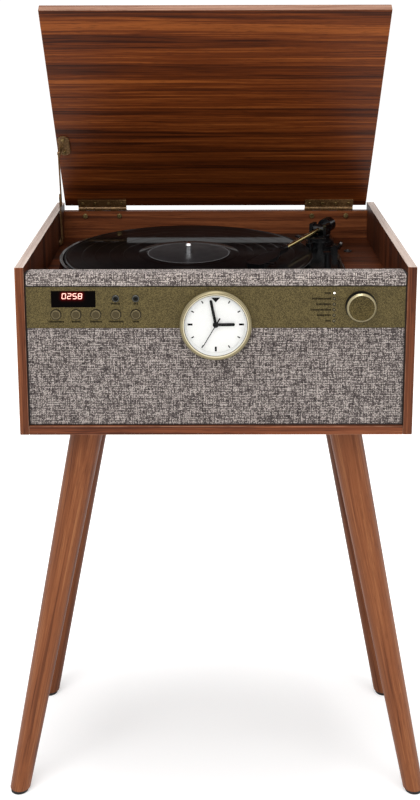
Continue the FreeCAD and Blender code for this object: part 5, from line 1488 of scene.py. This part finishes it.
@dataclass
class ControlStrip(Assembly):
    """The bronze strip with its display, buttons, jacks, lights and knob.

    Profiles are rows of radius, depth behind the piece's centre and softness. A ring is its inner and outer
    radius and how far it stands proud, and captions are the lengths of their rows of strokes.
    """

    face: float = -167.0
    window: tuple[float, float] = (-153.0, 154.05)
    window_size: tuple[float, float] = (47.7, 18.1)
    window_depth: float = 2.4
    window_grid: tuple[int, int] = (37, 97)
    glow: float = 0.4
    glow_fade: float = 0.8
    digits: str = "0258"
    digit_at: tuple[float, float] = (-165.2, 157.4)
    digit_size: tuple[float, float] = (3.7, 5.7)
    digit_pitch: float = 5.8
    digit_lean: float = 0.1
    digit_proud: tuple[float, float] = (0.06, 0.01)
    stroke: float = 0.66
    stroke_share: float = 0.74
    button_xs: tuple[float, ...] = (-172.0, -150.5, -129.0, -107.5, -86.0)
    button_z: float = 137.05
    button_front: float = -169.0
    button_dish: Profile = ((0, 0.35, 0), (3.3, 0.25, 0.4), (3.9, 0.14, 0))
    button_rim: Profile = ((3.9, 0.14, 0), (4.4, 0.02, 0.3), (4.95, 0.35, 0.35), (4.95, 1.0, 0))
    button_stem: Profile = ((4.95, 1.0, 0), (4.95, 2.4, 0), (5.9, 2.4, 0), (5.9, 4.25, 0), (0, 4.25, 0))
    # Painted shade: dark rings for the gaps round the buttons, the jacks' holes and the knob.
    button_shade_ring: tuple[float, float, float] = (5.25, 5.85, 0.18)
    button_captions: tuple[float, ...] = (16.6, 9.5, 12.8, 16.2, 6.6)
    caption_z: float = 128.9
    jack_xs: tuple[float, ...] = (-107.5, -86.0)
    jack_z: float = 154.65
    jack_hole_shade: tuple[float, float, float] = (1.85, 2.95, 0.95)
    jack_shade_ring: tuple[float, float, float] = (3.75, 4.1, 0.12)
    jack_captions: tuple[float, ...] = (9.8, 4.6)
    jack_drop: float = 5.7
    light_x: float = 127.3
    light_top: float = 160.5
    light_step: float = 6.2
    light_lens: Profile = ((0, -0.55, 0), (0.77, -0.45, 0.3), (1.1, 0.0, 0.2), (1.1, 6.8, 0), (0, 6.8, 0))
    light_ring: tuple[float, float, float] = (1.15, 1.75, 0.2)
    light_captions: tuple[float, ...] = (7.2, 20.5, 16.0, 22.0, 15.0, 5.8)
    light_gap: float = 3.4
    knob: tuple[float, float, float] = (156.0, -167.0, 145.85)
    knob_face: Profile = ((0, -8.3, 0), (13.4, -8.3, 0.1), (13.6, -8.57, 0.1), (13.9, -8.57, 0))
    knob_bevel: Profile = ((13.9, -8.57, 0), (14.1, -8.57, 0.15), (15.9, -6.5, 0.3), (15.95, -6.2, 0))
    knob_body: Profile = ((15.95, -6.2, 0), (16.4, -0.7, 0.3), (3.0, -0.62, 0), (3.0, 6.7, 0), (0, 6.7, 0))
    knob_shade_ring: tuple[float, float, float] = (3.6, 16.9, 0.25)
    ring_root: float = 0.3
    ring_soft: tuple[float, float] = (0.05, 0.1)
    mark_pitch: float = 1.35
    mark_width: float = 1.0
    mark_heights: tuple[float, float, float] = (2.2, 1.7, 2.0)
    mark_proud: float = 0.05
    mark_sunk: float = 0.02

    def build(self) -> None:
        """Dress the strip and make what sits in it."""
        self.dress(self.finish.strip, "control_fascia")
        self.dress(self.finish.nickel, "jack_sockets")
        self.dress(self.finish.board, "circuit_boards")
        self.display()
        self.buttons()
        self.lights()
        self.turn_knob()
        self.marks()

    def strokes(self) -> np.ndarray:
        """The ends of every lit segment, which leans to the right with height and is shortened about its middle.

        Returns:
            Rows of x, z, x and z.
        """
        size, pitch = np.tile(self.digit_size, 2), np.array([self.digit_pitch, 0, self.digit_pitch, 0])
        rows = [
            np.array(SEGMENT_ENDS[name]) * size + place * pitch
            for place, digit in enumerate(self.digits)
            for name in SEGMENTS[digit]
        ]
        ends = np.array(rows).reshape(-1, 2, 2)
        ends[..., 0] += self.digit_lean * ends[..., 1]
        middle = (ends[:, :1] + ends[:, 1:]) / 2
        ends = middle + (ends - middle) * self.stroke_share
        return (ends + np.array(self.digit_at) - [0, self.digit_size[1] / 2]).reshape(-1, 4)

    def display(self) -> None:
        """A dark pane that carries a glow of exp(-d / fade) from the nearest stroke, and the lit strokes on it."""
        strokes = self.strokes()
        rows, columns = self.window_grid
        width, height = self.window_size
        x = np.linspace(-width / 2, width / 2, columns) + self.window[0]
        z = np.linspace(-height / 2, height / 2, rows) + self.window[1]
        grid = np.stack(np.meshgrid(x, z), axis=-1).reshape(-1, 2)
        first, run = strokes[:, :2], strokes[:, 2:] - strokes[:, :2]
        share = np.clip(((grid[:, None] - first) * run).sum(-1) / (run**2).sum(-1), 0, 1)
        far = np.linalg.norm(grid[:, None] - first - share[..., None] * run, axis=-1).min(axis=1)
        glow = self.glow * np.exp(-np.maximum(far - self.stroke / 2, 0) / self.glow_fade)
        count = len(grid)
        front = np.c_[grid[:, 0], np.full(count, self.face), grid[:, 1]]
        rim = grid_rim(rows, columns)
        behind = count + np.arange(len(rim))
        sides = np.stack([rim, np.roll(rim, -1), np.roll(behind, -1), behind], axis=-1)
        pane = Surface(
            np.concatenate([front, front[rim] + [0, self.window_depth, 0]]),
            np.concatenate([grid_quads(rows, columns), sides]),
            (tuple(behind.tolist()),),
            np.r_[glow, np.zeros(len(rim))],
        )
        self.piece("display_pane", [pane], [self.finish.pane], "display_pane", replaces=["display_window"])
        near, far_side = (self.face - proud for proud in self.digit_proud)
        lit = [slab(capsule(s[:2], s[2:], self.stroke, steps=4), near, far_side) for s in strokes]
        self.piece("display_digits", lit, [self.finish.digits], "light_lens")

    def ring(self, x: float, z: float, size: tuple[float, float, float]) -> Surface:
        """A thin flat ring on the strip's face.

        Args:
            x: X of its middle.
            z: Z of its middle.
            size: Its inner and outer radius and how far it stands proud.

        Returns:
            The closed ring.
        """
        inner, outer, proud = size
        root, (soft_in, soft_out) = self.ring_root, self.ring_soft
        corners = [(inner, root, 0), (inner, -proud, soft_in), (outer, -proud, soft_out), (outer, root, 0)]
        return turned_ring(corners, (x, self.face, z), Axis.Y, segments=40, steps=3)

    def buttons(self) -> None:
        """Five dished caps with a rim painted paler as a highlight, and dark rings round them, the jacks and the knob,
        painted as the shade of the gaps and the jacks' holes.
        """
        lines = (self.button_dish, self.button_rim, self.button_stem)
        for number, x in enumerate(self.button_xs, start=1):
            spot, name = (x, self.button_front, self.button_z), f"button_{number}"
            # The rim takes the paler copy, a painted highlight.
            cap = [lathe(softened(line), spot, Axis.Y, segments=56, part=part) for line, part in zip(lines, (0, 1, 0))]
            self.piece(f"{name}_cap", cap, [self.finish.button, self.finish.button_rim], "bronze_trim", name, [name])
        # Dark rings painted as the shade in the gaps round buttons, jacks and knob, and in the jacks' holes.
        rings = [self.ring(x, self.button_z, self.button_shade_ring) for x in self.button_xs]
        rings += [self.ring(x, self.jack_z, size) for size in (self.jack_hole_shade, self.jack_shade_ring) for x in self.jack_xs]
        rings.append(self.ring(self.knob[0], self.knob[2], self.knob_shade_ring))
        self.piece("strip_rings", rings, [self.finish.hand], "black_trim")

    def lights(self) -> None:
        """Six small domed lenses in dark rings, of which the top one is lit."""
        lens = softened(self.light_lens)
        levels = [self.light_top - number * self.light_step for number in range(len(self.light_captions))]
        spots = [(self.light_x, self.face, z) for z in levels]
        lenses = [lathe(lens, spot, Axis.Y, segments=24, part=int(spot is spots[0])) for spot in spots]
        finishes = [self.finish.lens, self.finish.lens_lit]
        self.piece("indicator_lenses", lenses, finishes, "light_lens", replaces=["indicator_lights"])
        rings = [self.ring(self.light_x, z, self.light_ring) for z in levels]
        self.piece("indicator_rings", rings, [self.finish.hand], "black_trim")

    def turn_knob(self) -> None:
        """A low knob: a flat face, a polished bevel round it whose pale colour is partly a painted highlight, and a
        black side.
        """
        lines = (self.knob_face, self.knob_bevel, self.knob_body)
        knob = [lathe(softened(line), self.knob, Axis.Y, segments=112, part=part) for part, line in enumerate(lines)]
        finishes = [self.finish.knob, self.finish.knob_bevel, self.finish.hand]
        self.piece("control_knob_turned", knob, finishes, "bronze_trim", "control_knob", ["control_knob"])

    def marks(self) -> None:
        """Rows of plain strokes where a panel would be lettered: under buttons and jacks and left of the lights."""
        rows = [(x - width / 2, self.caption_z, width) for x, width in zip(self.button_xs, self.button_captions)]
        jacks = zip(self.jack_xs, self.jack_captions)
        rows += [(x - width / 2, self.jack_z - self.jack_drop, width) for x, width in jacks]
        rows += [
            (self.light_x - self.light_gap - width, self.light_top - number * self.light_step, width)
            for number, width in enumerate(self.light_captions)
        ]
        front, back = self.face - self.mark_proud, self.face + self.mark_sunk
        strokes = [slab(outline, front, back) for row in rows for outline in self.caption(*row)]
        self.piece("strip_marks", strokes, [self.finish.marks], "black_trim")

    def caption(self, start: float, z: float, width: float) -> list[np.ndarray]:
        """A row of short upright strokes, by turns taller and lower, that reads as no word.

        Args:
            start: X of its left end.
            z: Its middle.
            width: Its length.

        Returns:
            Outlines in X and Z.
        """
        count = max(2, round(width / self.mark_pitch))
        heights = self.mark_heights
        return [
            oblong((start + (place + 0.5) * width / count, z), self.mark_width, heights[place % len(heights)])
            for place in range(count)
        ]


@dataclass(frozen=True)
class Hand:
    """A straight clock hand.

    Args:
        name: The body and the CAD node that it is.
        length: From its pivot to its tip.
        width: Of its blade.
        angle: Degrees past twelve.
        hub: Radius of its boss.
        bore: Radius of the hole through it, or 0.
        tail: How far it reaches behind its pivot.
    """

    name: str
    length: float
    width: float
    angle: float
    hub: float
    bore: float = 0.0
    tail: float = 0.0


@dataclass
class Clock(Assembly):
    """A bezel with a white dial, plain hour marks and three hands under a glass.

    Profiles are rows of radius, depth behind the front board's face and softness.
    """

    centre: tuple[float, float, float] = (0.0, -167.0, 125.5)
    segments: int = 128
    bezel_profile: Profile = (
        (35.2, -5.2, 0.0),
        (35.7, -6.95, 0.4),
        (37.2, -6.95, 1.4),
        (39.0, -4.6, 1.6),
        (39.0, -0.02, 0.3),
        (35.8, 0.0, 0.0),
        (35.8, 8.0, 0.0),
        (34.8, 8.0, 0.0),
        (34.8, -5.2, 0.0),
    )
    bead_profile: Profile = ((34.3, -5.1, 0.0), (34.3, -6.3, 0.4), (35.6, -6.3, 0.4), (35.6, -5.1, 0.0))
    # Painted shadow: a thin black ring inside the bead, where shade falls between bezel and dial.
    shadow_line_profile: Profile = ((33.75, -5.22, 0.0), (33.75, -5.55, 0.0), (34.45, -5.55, 0.0), (34.45, -5.22, 0.0))
    slope_profile: Profile = ((34.5, -4.1, 0.0), (34.2, -4.1, 0.1), (32.7, -0.12, 0.2), (34.5, -0.02, 0.0))
    track_profile: Profile = ((31.6, 0.02, 0.0), (31.6, -0.07, 0.0), (31.85, -0.07, 0.0), (31.85, 0.02, 0.0))
    twelve: Profile = ((-4.8, 30.2), (4.8, 30.2), (0.0, 24.8))
    mark_out: float = 30.4
    bold_mark: tuple[float, float] = (2.2, 5.4)
    short_mark: tuple[float, float] = (1.3, 3.2)
    mark_proud: float = 0.1
    sunk: float = 0.02
    hour_back: float = -1.05
    hand_step: float = 1.05
    hand_thickness: float = 0.5
    bore_gap: float = 0.1
    boss_edges: Profile = ((0.15, 0.12), (0.2, 0.1))
    pipe_wall: float = 0.4
    pipe_end: float = 0.05
    hands: tuple[Hand, ...] = (
        Hand("hour_hand", 20.6, 3.3, 89.3, 3.3, bore=1.3),
        Hand("minute_hand", 28.6, 3.0, 349.0, 3.1, bore=0.7),
        Hand("second_hand", 27.2, 0.9, 210.0, 1.9, tail=8.6),
    )
    weight_start: float = 2.5
    weight_width: float = 1.5

    def build(self) -> None:
        """The bezel, the dial's marks and the hands; the glass and dial keep their solids."""
        self.dress(self.finish.glass, "clock_glass")
        self.dress(self.finish.dial, "clock_dial")
        self.dress(self.finish.movement, "clock_movement")
        self.bezel()
        self.dial_marks()
        for level, hand in enumerate(self.hands):
            surfaces = self.blade(level, hand)
            self.piece(f"{hand.name}_baton", surfaces, [self.finish.hand], "hand_black", hand.name, [hand.name])

    def ring(self, profile: Profile, steps: int, part: int = 0) -> Surface:
        """A ring about the clock's middle."""
        return turned_ring(profile, self.centre, Axis.Y, self.segments, steps, part)

    def bezel(self) -> None:
        """A domed ring with a sleeve behind it, a pale bead inside it, a thin black ring painted as the shadow inside
        the bead, and a white slope down to the dial.
        """
        rings = [self.ring(self.bezel_profile, 6), self.ring(self.bead_profile, 4, 1)]
        finishes = [self.finish.bezel, self.finish.bezel_lip]
        self.piece("clock_bezel_turned", rings, finishes, "bronze_trim", replaces=["clock_bezel"])
        self.piece("clock_bezel_gasket", [self.ring(self.shadow_line_profile, 2)], [self.finish.trim], "black_trim")
        self.piece("clock_dial_slope", [self.ring(self.slope_profile, 4)], [self.finish.dial], "dial_white")

    def dial_marks(self) -> None:
        """A triangle at twelve, bold bars at three, six and nine, short bars between, and a thin ring."""
        x, y, z = self.centre
        middle = np.array([x, z])
        outlines = [middle + np.array(self.twelve)]
        for hour in range(1, 12):
            width, size = self.short_mark if hour % 3 else self.bold_mark
            spot = middle + (self.mark_out - size / 2) * clockwise(30 * hour)
            outlines.append(oblong(spot, width, size, 30 * hour))
        marks = [slab(outline, y - self.mark_proud, y + self.sunk) for outline in outlines]
        self.piece("dial_hour_marks", marks, [self.finish.ink], "hand_black")
        self.piece("dial_ring_mark", [self.ring(self.track_profile, 2)], [self.finish.ring_ink], "hand_black")

    def blade(self, level: int, hand: Hand) -> list[Surface]:
        """A hand with round ends, its boss and its arbor, a pipe where another arbor goes through it.

        Args:
            level: How many steps it stands above the hour hand.
            hand: Its sizes.

        Returns:
            The blade, the boss, the arbor and, on a hand with a tail, its counterweight.
        """
        x, y, z = self.centre
        bore, hub, thick, sunk = hand.bore, hand.hub, self.hand_thickness, self.sunk
        back = y + self.hour_back - level * self.hand_step
        way, pivot = clockwise(hand.angle), np.array([x, z])
        tip = pivot + way * (hand.length - hand.width / 2)
        start = pivot + way * (bore + hand.width / 2 + self.bore_gap if bore else -hand.tail)
        (draw_in, soft), (drop, soft_side) = self.boss_edges
        boss = [
            (bore, -thick, 0),
            (hub - draw_in, -thick, soft),
            (hub, drop - thick, soft_side),
            (hub, -sunk, 0),
            (bore, -sunk, 0),
        ]
        pipe, end = bore + self.pipe_wall, (level + 1) * self.hand_step - self.pipe_end
        stem = np.array([(bore, -sunk), (pipe, -sunk), (pipe, end), (bore, end)])
        surfaces = [
            slab(capsule(start, tip, hand.width), back - thick + sunk, back - sunk),
            lathe(softened(boss, 3), (x, back, z), Axis.Y, segments=36, closed=bore > 0),
            lathe(stem, (x, back, z), Axis.Y, segments=20, closed=bore > 0),
        ]
        if hand.tail:
            weight = capsule(pivot - way * self.weight_start, pivot - way * hand.tail, self.weight_width)
            surfaces.append(slab(weight, back - thick, back))
        return surfaces


@dataclass
class Turntable(Assembly):
    """The chassis, platter, record and belt drive; profiles are rows of radius, height and softness."""

    centre: tuple[float, float, float] = (-33.0, 4.0, 159.8)
    segments: int = 160
    label_segments: int = 128
    face: float = 1.42
    rim: Profile = (
        (150.38, 0.05, 0.0),
        (150.98, 0.9, 0.0),
        (150.58, 1.35, 0.2),
        (148.68, 1.88, 0.7),
        (146.98, 1.5, 0.6),
        (144.9, 1.42, 0.0),
    )
    lead_in: Profile = ((144.9, 1.42), (144.5, 1.42))
    bands: tuple[float, ...] = (144.5, 129.0, 113.0, 96.0, 79.0, 61.0)
    groove_pitch: float = 1.5
    groove_depth: float = 0.002
    groove_step: float = 0.375
    land_width: float = 0.75
    land_dip: tuple[float, float] = (0.05, 1.4)
    middle: Profile = (
        (61.0, 1.42, 0.0),
        (52.2, 1.42, 0.6),
        (50.4, 1.88, 0.4),
        (3.65, 1.88, 0.0),
        (3.65, 0.05, 0.0),
        (150.38, 0.05, 0.0),
    )
    paper: Profile = ((3.85, 1.87, 0.0), (3.85, 1.95, 0.0), (49.9, 1.95, 0.1), (50.0, 1.87, 0.0))
    paper_ring: Profile = ((48.9, 1.93, 0.0), (48.9, 1.98, 0.0), (49.6, 1.98, 0.0), (49.6, 1.93, 0.0))

    def build(self) -> None:
        """The grooved record and its label; the rest keeps its solids."""
        self.dress(self.finish.chassis, "turntable_chassis")
        self.dress(self.finish.platter, "platter")
        self.dress(self.finish.chrome, "spindle")
        self.dress(self.finish.rubber, "drive_belt")
        self.dress(self.finish.steel, "platter_motor", "motor_pulley")
        self.record()
        self.label()

    def record(self) -> None:
        """A turned disc: a raised bead at the rim, bands of shallow grooves d sin(2 pi r / pitch), plain lands."""
        lines = [(softened(self.rim), 1)]
        for outer, inner in zip(self.bands[:-1], self.bands[1:]):
            r = np.arange(outer, inner + self.land_width, -self.groove_step)
            height = self.face + self.groove_depth * np.sin(2 * np.pi * r / self.groove_pitch)
            height[0] = height[-1] = self.face
            dip, low = self.land_dip
            land = np.array([(r[-1], self.face), (inner + dip, low), (inner, self.face)])
            lines += [(np.c_[r, height], 0), (land, 1)]
        lines += [(np.array(self.lead_in), 1), (softened(self.middle), 1)]
        surfaces = [lathe(line, self.centre, Axis.Z, self.segments, part=part) for line, part in lines]
        finishes = [self.finish.vinyl, self.finish.land]
        piece = self.piece("record_grooved", surfaces, finishes, "record_vinyl", "platter", ["record"], sharp=60.0)
        self.wind(piece.data)

    def wind(self, mesh: bpy.types.Mesh) -> None:
        """A UV map whose U is the turn about the spindle, unbroken within each face, and whose V is the radius.

        Args:
            mesh: The record's mesh.
        """
        hub = np.array(self.centre) * MM
        corners = column(mesh.loops, "vertex_index", kind=np.int32)
        spread = column(mesh.vertices, "co", 3)[corners] - hub
        sizes = column(mesh.polygons, "loop_total", kind=np.int32)
        middle = np.repeat(column(mesh.polygons, "center", 3) - hub, sizes, axis=0)
        turn, home = (np.arctan2(way[:, 1], way[:, 0]) / (2 * np.pi) for way in (spread, middle))
        turn += np.round(home - turn)
        out = np.hypot(spread[:, 0], spread[:, 1])
        layer = mesh.uv_layers.new(name="around")
        layer.data.foreach_set("uv", np.c_[turn, out].astype(np.float32).ravel())

    def label(self) -> None:
        """A paper disc with a thin pale ring near its edge."""
        disc, ring = (
            turned_ring(profile, self.centre, Axis.Z, self.label_segments, steps=3)
            for profile in (self.paper, self.paper_ring)
        )
        self.piece("record_label", [disc], [self.finish.label], "record_vinyl", "platter")
        self.piece("record_label_ring", [ring], [self.finish.label_ring], "record_vinyl", "platter")


@dataclass
class Tonearm(Assembly):
    """The arm on its pedestal, its rest, and the cueing and speed levers."""

    def build(self) -> None:
        """Dress the arm's pieces."""
        self.dress(self.finish.gold, "tonearm_tube")
        self.dress(self.finish.hand, "headshell", "cartridge")
        self.dress(self.finish.head, "tonearm_carrier", "tonearm_yoke", "tonearm_base", "arm_rest")
        self.dress(self.finish.head, "cue_lift", "speed_lever")
        self.dress(self.finish.lever, "cue_lever")


@dataclass
class Fittings(Assembly):
    """Hinge leaves, bolts, the sliding stay, and the sockets at the back."""

    hinge_middle: float = 153.0
    bolt_spread: float = 23.0
    bolt_z: float = 173.2
    bolt_face: float = 158.5
    bolt_radius: float = 3.3
    bolt_height: float = 0.6
    plate: tuple[float, float, float] = (-90.0, 173.5, 70.0)
    plate_spread: float = 47.0
    leg: tuple[float, float] = (145.0, 97.0)
    leg_spread: float = 24.0
    leg_face: float = -4.5
    sockets: tuple[float, float, float] = (-112.0, -90.0, -68.0)
    socket_bores: tuple[float, float, float] = (4.72, 4.72, 6.2)
    socket_front: float = 175.6
    ring_profile: Profile = ((0.0, -2.2, 0.0), (0.0, -0.9, 0.2), (1.3, -0.9, 0.3), (1.5, -2.2, 0.0))

    def build(self) -> None:
        """Dress the metalwork and put a domed face on every screw."""
        self.dress(self.finish.brass, "hinge_cabinet_leaves", "stay_wall_bracket", "stay_lower_bar", "stay_upper_bar")
        self.dress(self.finish.screw, "cabinet_screws")
        self.dress(self.finish.socket, "rear_socket_plate")
        self.dress(self.finish.cone, "speakers")
        heads = [
            ((side * self.hinge_middle + way * self.bolt_spread, self.bolt_face, self.bolt_z), FORWARD)
            for side, way in product(PAIR, PAIR)
        ]
        x, y, z = self.plate
        heads += [((x + way * self.plate_spread, y, z), BACKWARD) for way in PAIR]
        leg_x, leg_y = self.leg
        heads += [
            ((right * leg_x + a * self.leg_spread, rear * leg_y + b * self.leg_spread, self.leg_face), DOWN)
            for right, rear, a, b in product(PAIR, repeat=4)
        ]
        domes = [screw_dome(spot, way, self.bolt_radius, self.bolt_height) for spot, way in heads]
        self.piece("cabinet_screw_faces", domes, [self.finish.screw], "screw_brass", sharp=50.0)
        self.socket_rings()

    def socket_rings(self) -> None:
        """A coloured ring round each phono socket and a steel one round the power inlet."""
        colours = (self.finish.socket_red, self.finish.socket_white, self.finish.steel)
        names = ("phono_ring_1", "phono_ring_2", "inlet_ring")
        for name, x, finish, bore in zip(names, self.sockets, colours, self.socket_bores):
            profile = np.array(self.ring_profile) + [bore, 0.0, 0.0]
            ring = turned_ring(profile, (x, self.socket_front, self.plate[2]), Axis.Y, segments=48, steps=3)
            self.piece(name, [ring], [finish], "socket_black")


@dataclass
class Legs(Assembly):
    """Four splayed legs on their plates, with rubber glides."""

    def build(self) -> None:
        """Dress the legs in their stain, its grain along each leg; the rear legs are painted darker as shade under the
        cabinet.
        """
        self.dress(self.finish.leg_left, "leg_front_left")
        self.dress(self.finish.leg_right, "leg_front_right")
        self.dress(self.finish.leg_rear_left, "leg_rear_left")
        self.dress(self.finish.leg_rear_right, "leg_rear_right")
        self.dress(self.finish.black_steel, "leg_plates")
        self.dress(self.finish.rubber, "foot_glides")


# Studio


@dataclass(frozen=True)
class Lamp:
    """A soft square lamp that looks at a point, in metres and watts."""

    name: str
    place: tuple[float, float, float]
    size: float
    power: float
    aim: tuple[float, float, float] = (0.0, 0.0, 0.6)

    def light(self) -> None:
        """Hang the lamp, tipped and turned so that it looks along the way from its place to its aim."""
        data = bpy.data.lights.new(self.name, "AREA")
        data.shape = "SQUARE"
        data.size = self.size
        data.energy = self.power
        obj = add_object(self.name, data)
        x, y, z = np.array(self.aim) - np.array(self.place)
        obj.location = self.place
        obj.rotation_euler = (math.atan2(math.hypot(x, y), -z), 0.0, math.atan2(-x, y))


@dataclass
class Studio:
    """A pale floor, soft lamps and the camera, in metres, degrees and the photograph's pixels."""

    floor_half: float = 60.0
    floor_grey: float = 0.86
    floor_light: tuple[float, float] = (0.2, 0.6)
    floor_reach: tuple[float, float] = (0.4, 1.7)
    floor_shade_oval: tuple[float, float] = (0.32, 0.16)
    floor_middle: float = -0.01
    ambient: float = 0.55
    mirror: float = 0.6
    eye: tuple[float, float, float] = (0.0, -1.3417, 1.006)
    pitch: float = 11.18
    yaw: float = 0.18
    roll: float = -0.14
    focal: float = 1137.0
    centre: tuple[float, float] = (212.0, 190.0)
    image: tuple[float, float] = (420.0, 800.0)
    sensor: float = 36.0
    sight: float = 500.0
    lamps: tuple[Lamp, ...] = (
        Lamp("key_lamp", (-0.9, -2.3, 2.7), 2.2, 56.0),
        Lamp("fill_lamp", (2.0, -2.2, 1.5), 1.8, 20.0),
        Lamp("top_lamp", (0.0, -0.5, 3.1), 1.2, 34.0),
    )

    def build(self) -> None:
        """Set the stage."""
        bpy.context.scene.view_settings.view_transform = "Standard"
        self.floor()
        self.surroundings()
        for lamp in self.lamps:
            lamp.light()
        self.camera()

    def seen(self, bench: Bench) -> bpy.types.NodeSocket:
        """How much of the white background a ray sees.

        Args:
            bench: The tree that asks.

        Returns:
            1 for rays from the camera or through glass, less for mirrors, else 0.
        """
        path = bench.add("ShaderNodeLightPath").outputs
        mirror = bench.sum("MULTIPLY", path["Is Glossy Ray"], self.mirror)
        near = bench.sum("MAXIMUM", path["Is Camera Ray"], mirror)
        return bench.sum("MAXIMUM", near, path["Is Transmission Ray"])

    def floor(self) -> None:
        """A large pale floor that keeps the shadow, and glows more with the distance from the legs' oval, so that less
        glow paints shade in the oval under the player.
        """
        mesh = bpy.data.meshes.new("floor")
        corners = np.array([[-1, -1, 0], [1, -1, 0], [1, 1, 0], [-1, 1, 0]]) * self.floor_half
        mesh.from_pydata(corners, [], [(0, 1, 2, 3)])
        obj = add_object("floor", mesh)
        paint = bpy.data.materials.new("floor_paint")
        paint.use_nodes = True
        bench = Bench(paint.node_tree)
        wide, deep = self.floor_shade_oval
        place = {
            "Vector": bench.add("ShaderNodeTexCoord").outputs["Object"],
            "Location": (0.0, -self.floor_middle / deep, 0.0),
            "Scale": (1.0 / wide, 1.0 / deep, 1.0),
        }
        far = bench.vector("LENGTH", bench.add("ShaderNodeMapping", place).outputs[0])
        # Less glow in the oval under the player: painted shade, on top of the lamps' own shadow.
        lift = bench.ease(far, *self.floor_reach, *self.floor_light)
        looks = {
            "Base Color": (self.floor_grey, self.floor_grey, self.floor_grey, 1.0),
            "Roughness": 1.0,
            "Specular IOR Level": 0.0,
            "Emission Color": WHITE,
            "Emission Strength": bench.sum("MULTIPLY", self.seen(bench), lift),
        }
        bench.fill(paint.node_tree.nodes["Principled BSDF"], looks)
        mesh.materials.append(paint)

    def surroundings(self) -> None:
        """White to the camera and to mirrors, a plain soft light to the rest."""
        world = bpy.data.worlds.new("studio")
        world.use_nodes = True
        bench = Bench(world.node_tree)
        gain = bench.sum("MULTIPLY_ADD", self.seen(bench), 1.0 - self.ambient, self.ambient)
        bench.fill(world.node_tree.nodes["Background"], {"Color": WHITE, "Strength": gain})
        bpy.context.scene.world = world

    def camera(self) -> None:
        """The photograph's view: its focal length and the place of its optical axis, in pixels."""
        width, height = self.image
        data = bpy.data.cameras.new("camera")
        data.sensor_fit = "VERTICAL"
        data.sensor_height = self.sensor
        data.lens = self.focal * self.sensor / height
        data.shift_x = (width / 2 - self.centre[0]) / height
        data.shift_y = (self.centre[1] - height / 2) / height
        data.clip_end = self.sight
        obj = add_object("camera", data)
        obj.location = self.eye
        turns = ((self.yaw, "Z"), (90.0 - self.pitch, "X"), (self.roll, "Z"))
        yaw, tip, roll = (Matrix.Rotation(math.radians(angle), 3, axis) for angle, axis in turns)
        obj.rotation_euler = (yaw @ tip @ roll).to_euler()
        bpy.context.scene.camera = obj


KINDS: tuple[type[Assembly], ...] = (
    Cabinet, Lid, Front, ControlStrip, Clock, Turntable, Tonearm, Fittings, Legs
)


def main() -> None:
    """Build every sub-assembly in order, then the studio."""
    logging.basicConfig(level=logging.INFO, format="%(message)s")
    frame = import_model()
    finish = Finishes()
    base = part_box("bottom_panel")[0].z / MM
    for kind in KINDS:
        kind(frame["nodes"], finish, base).build()
    Studio().build()


if __name__ == "__main__":
    main()
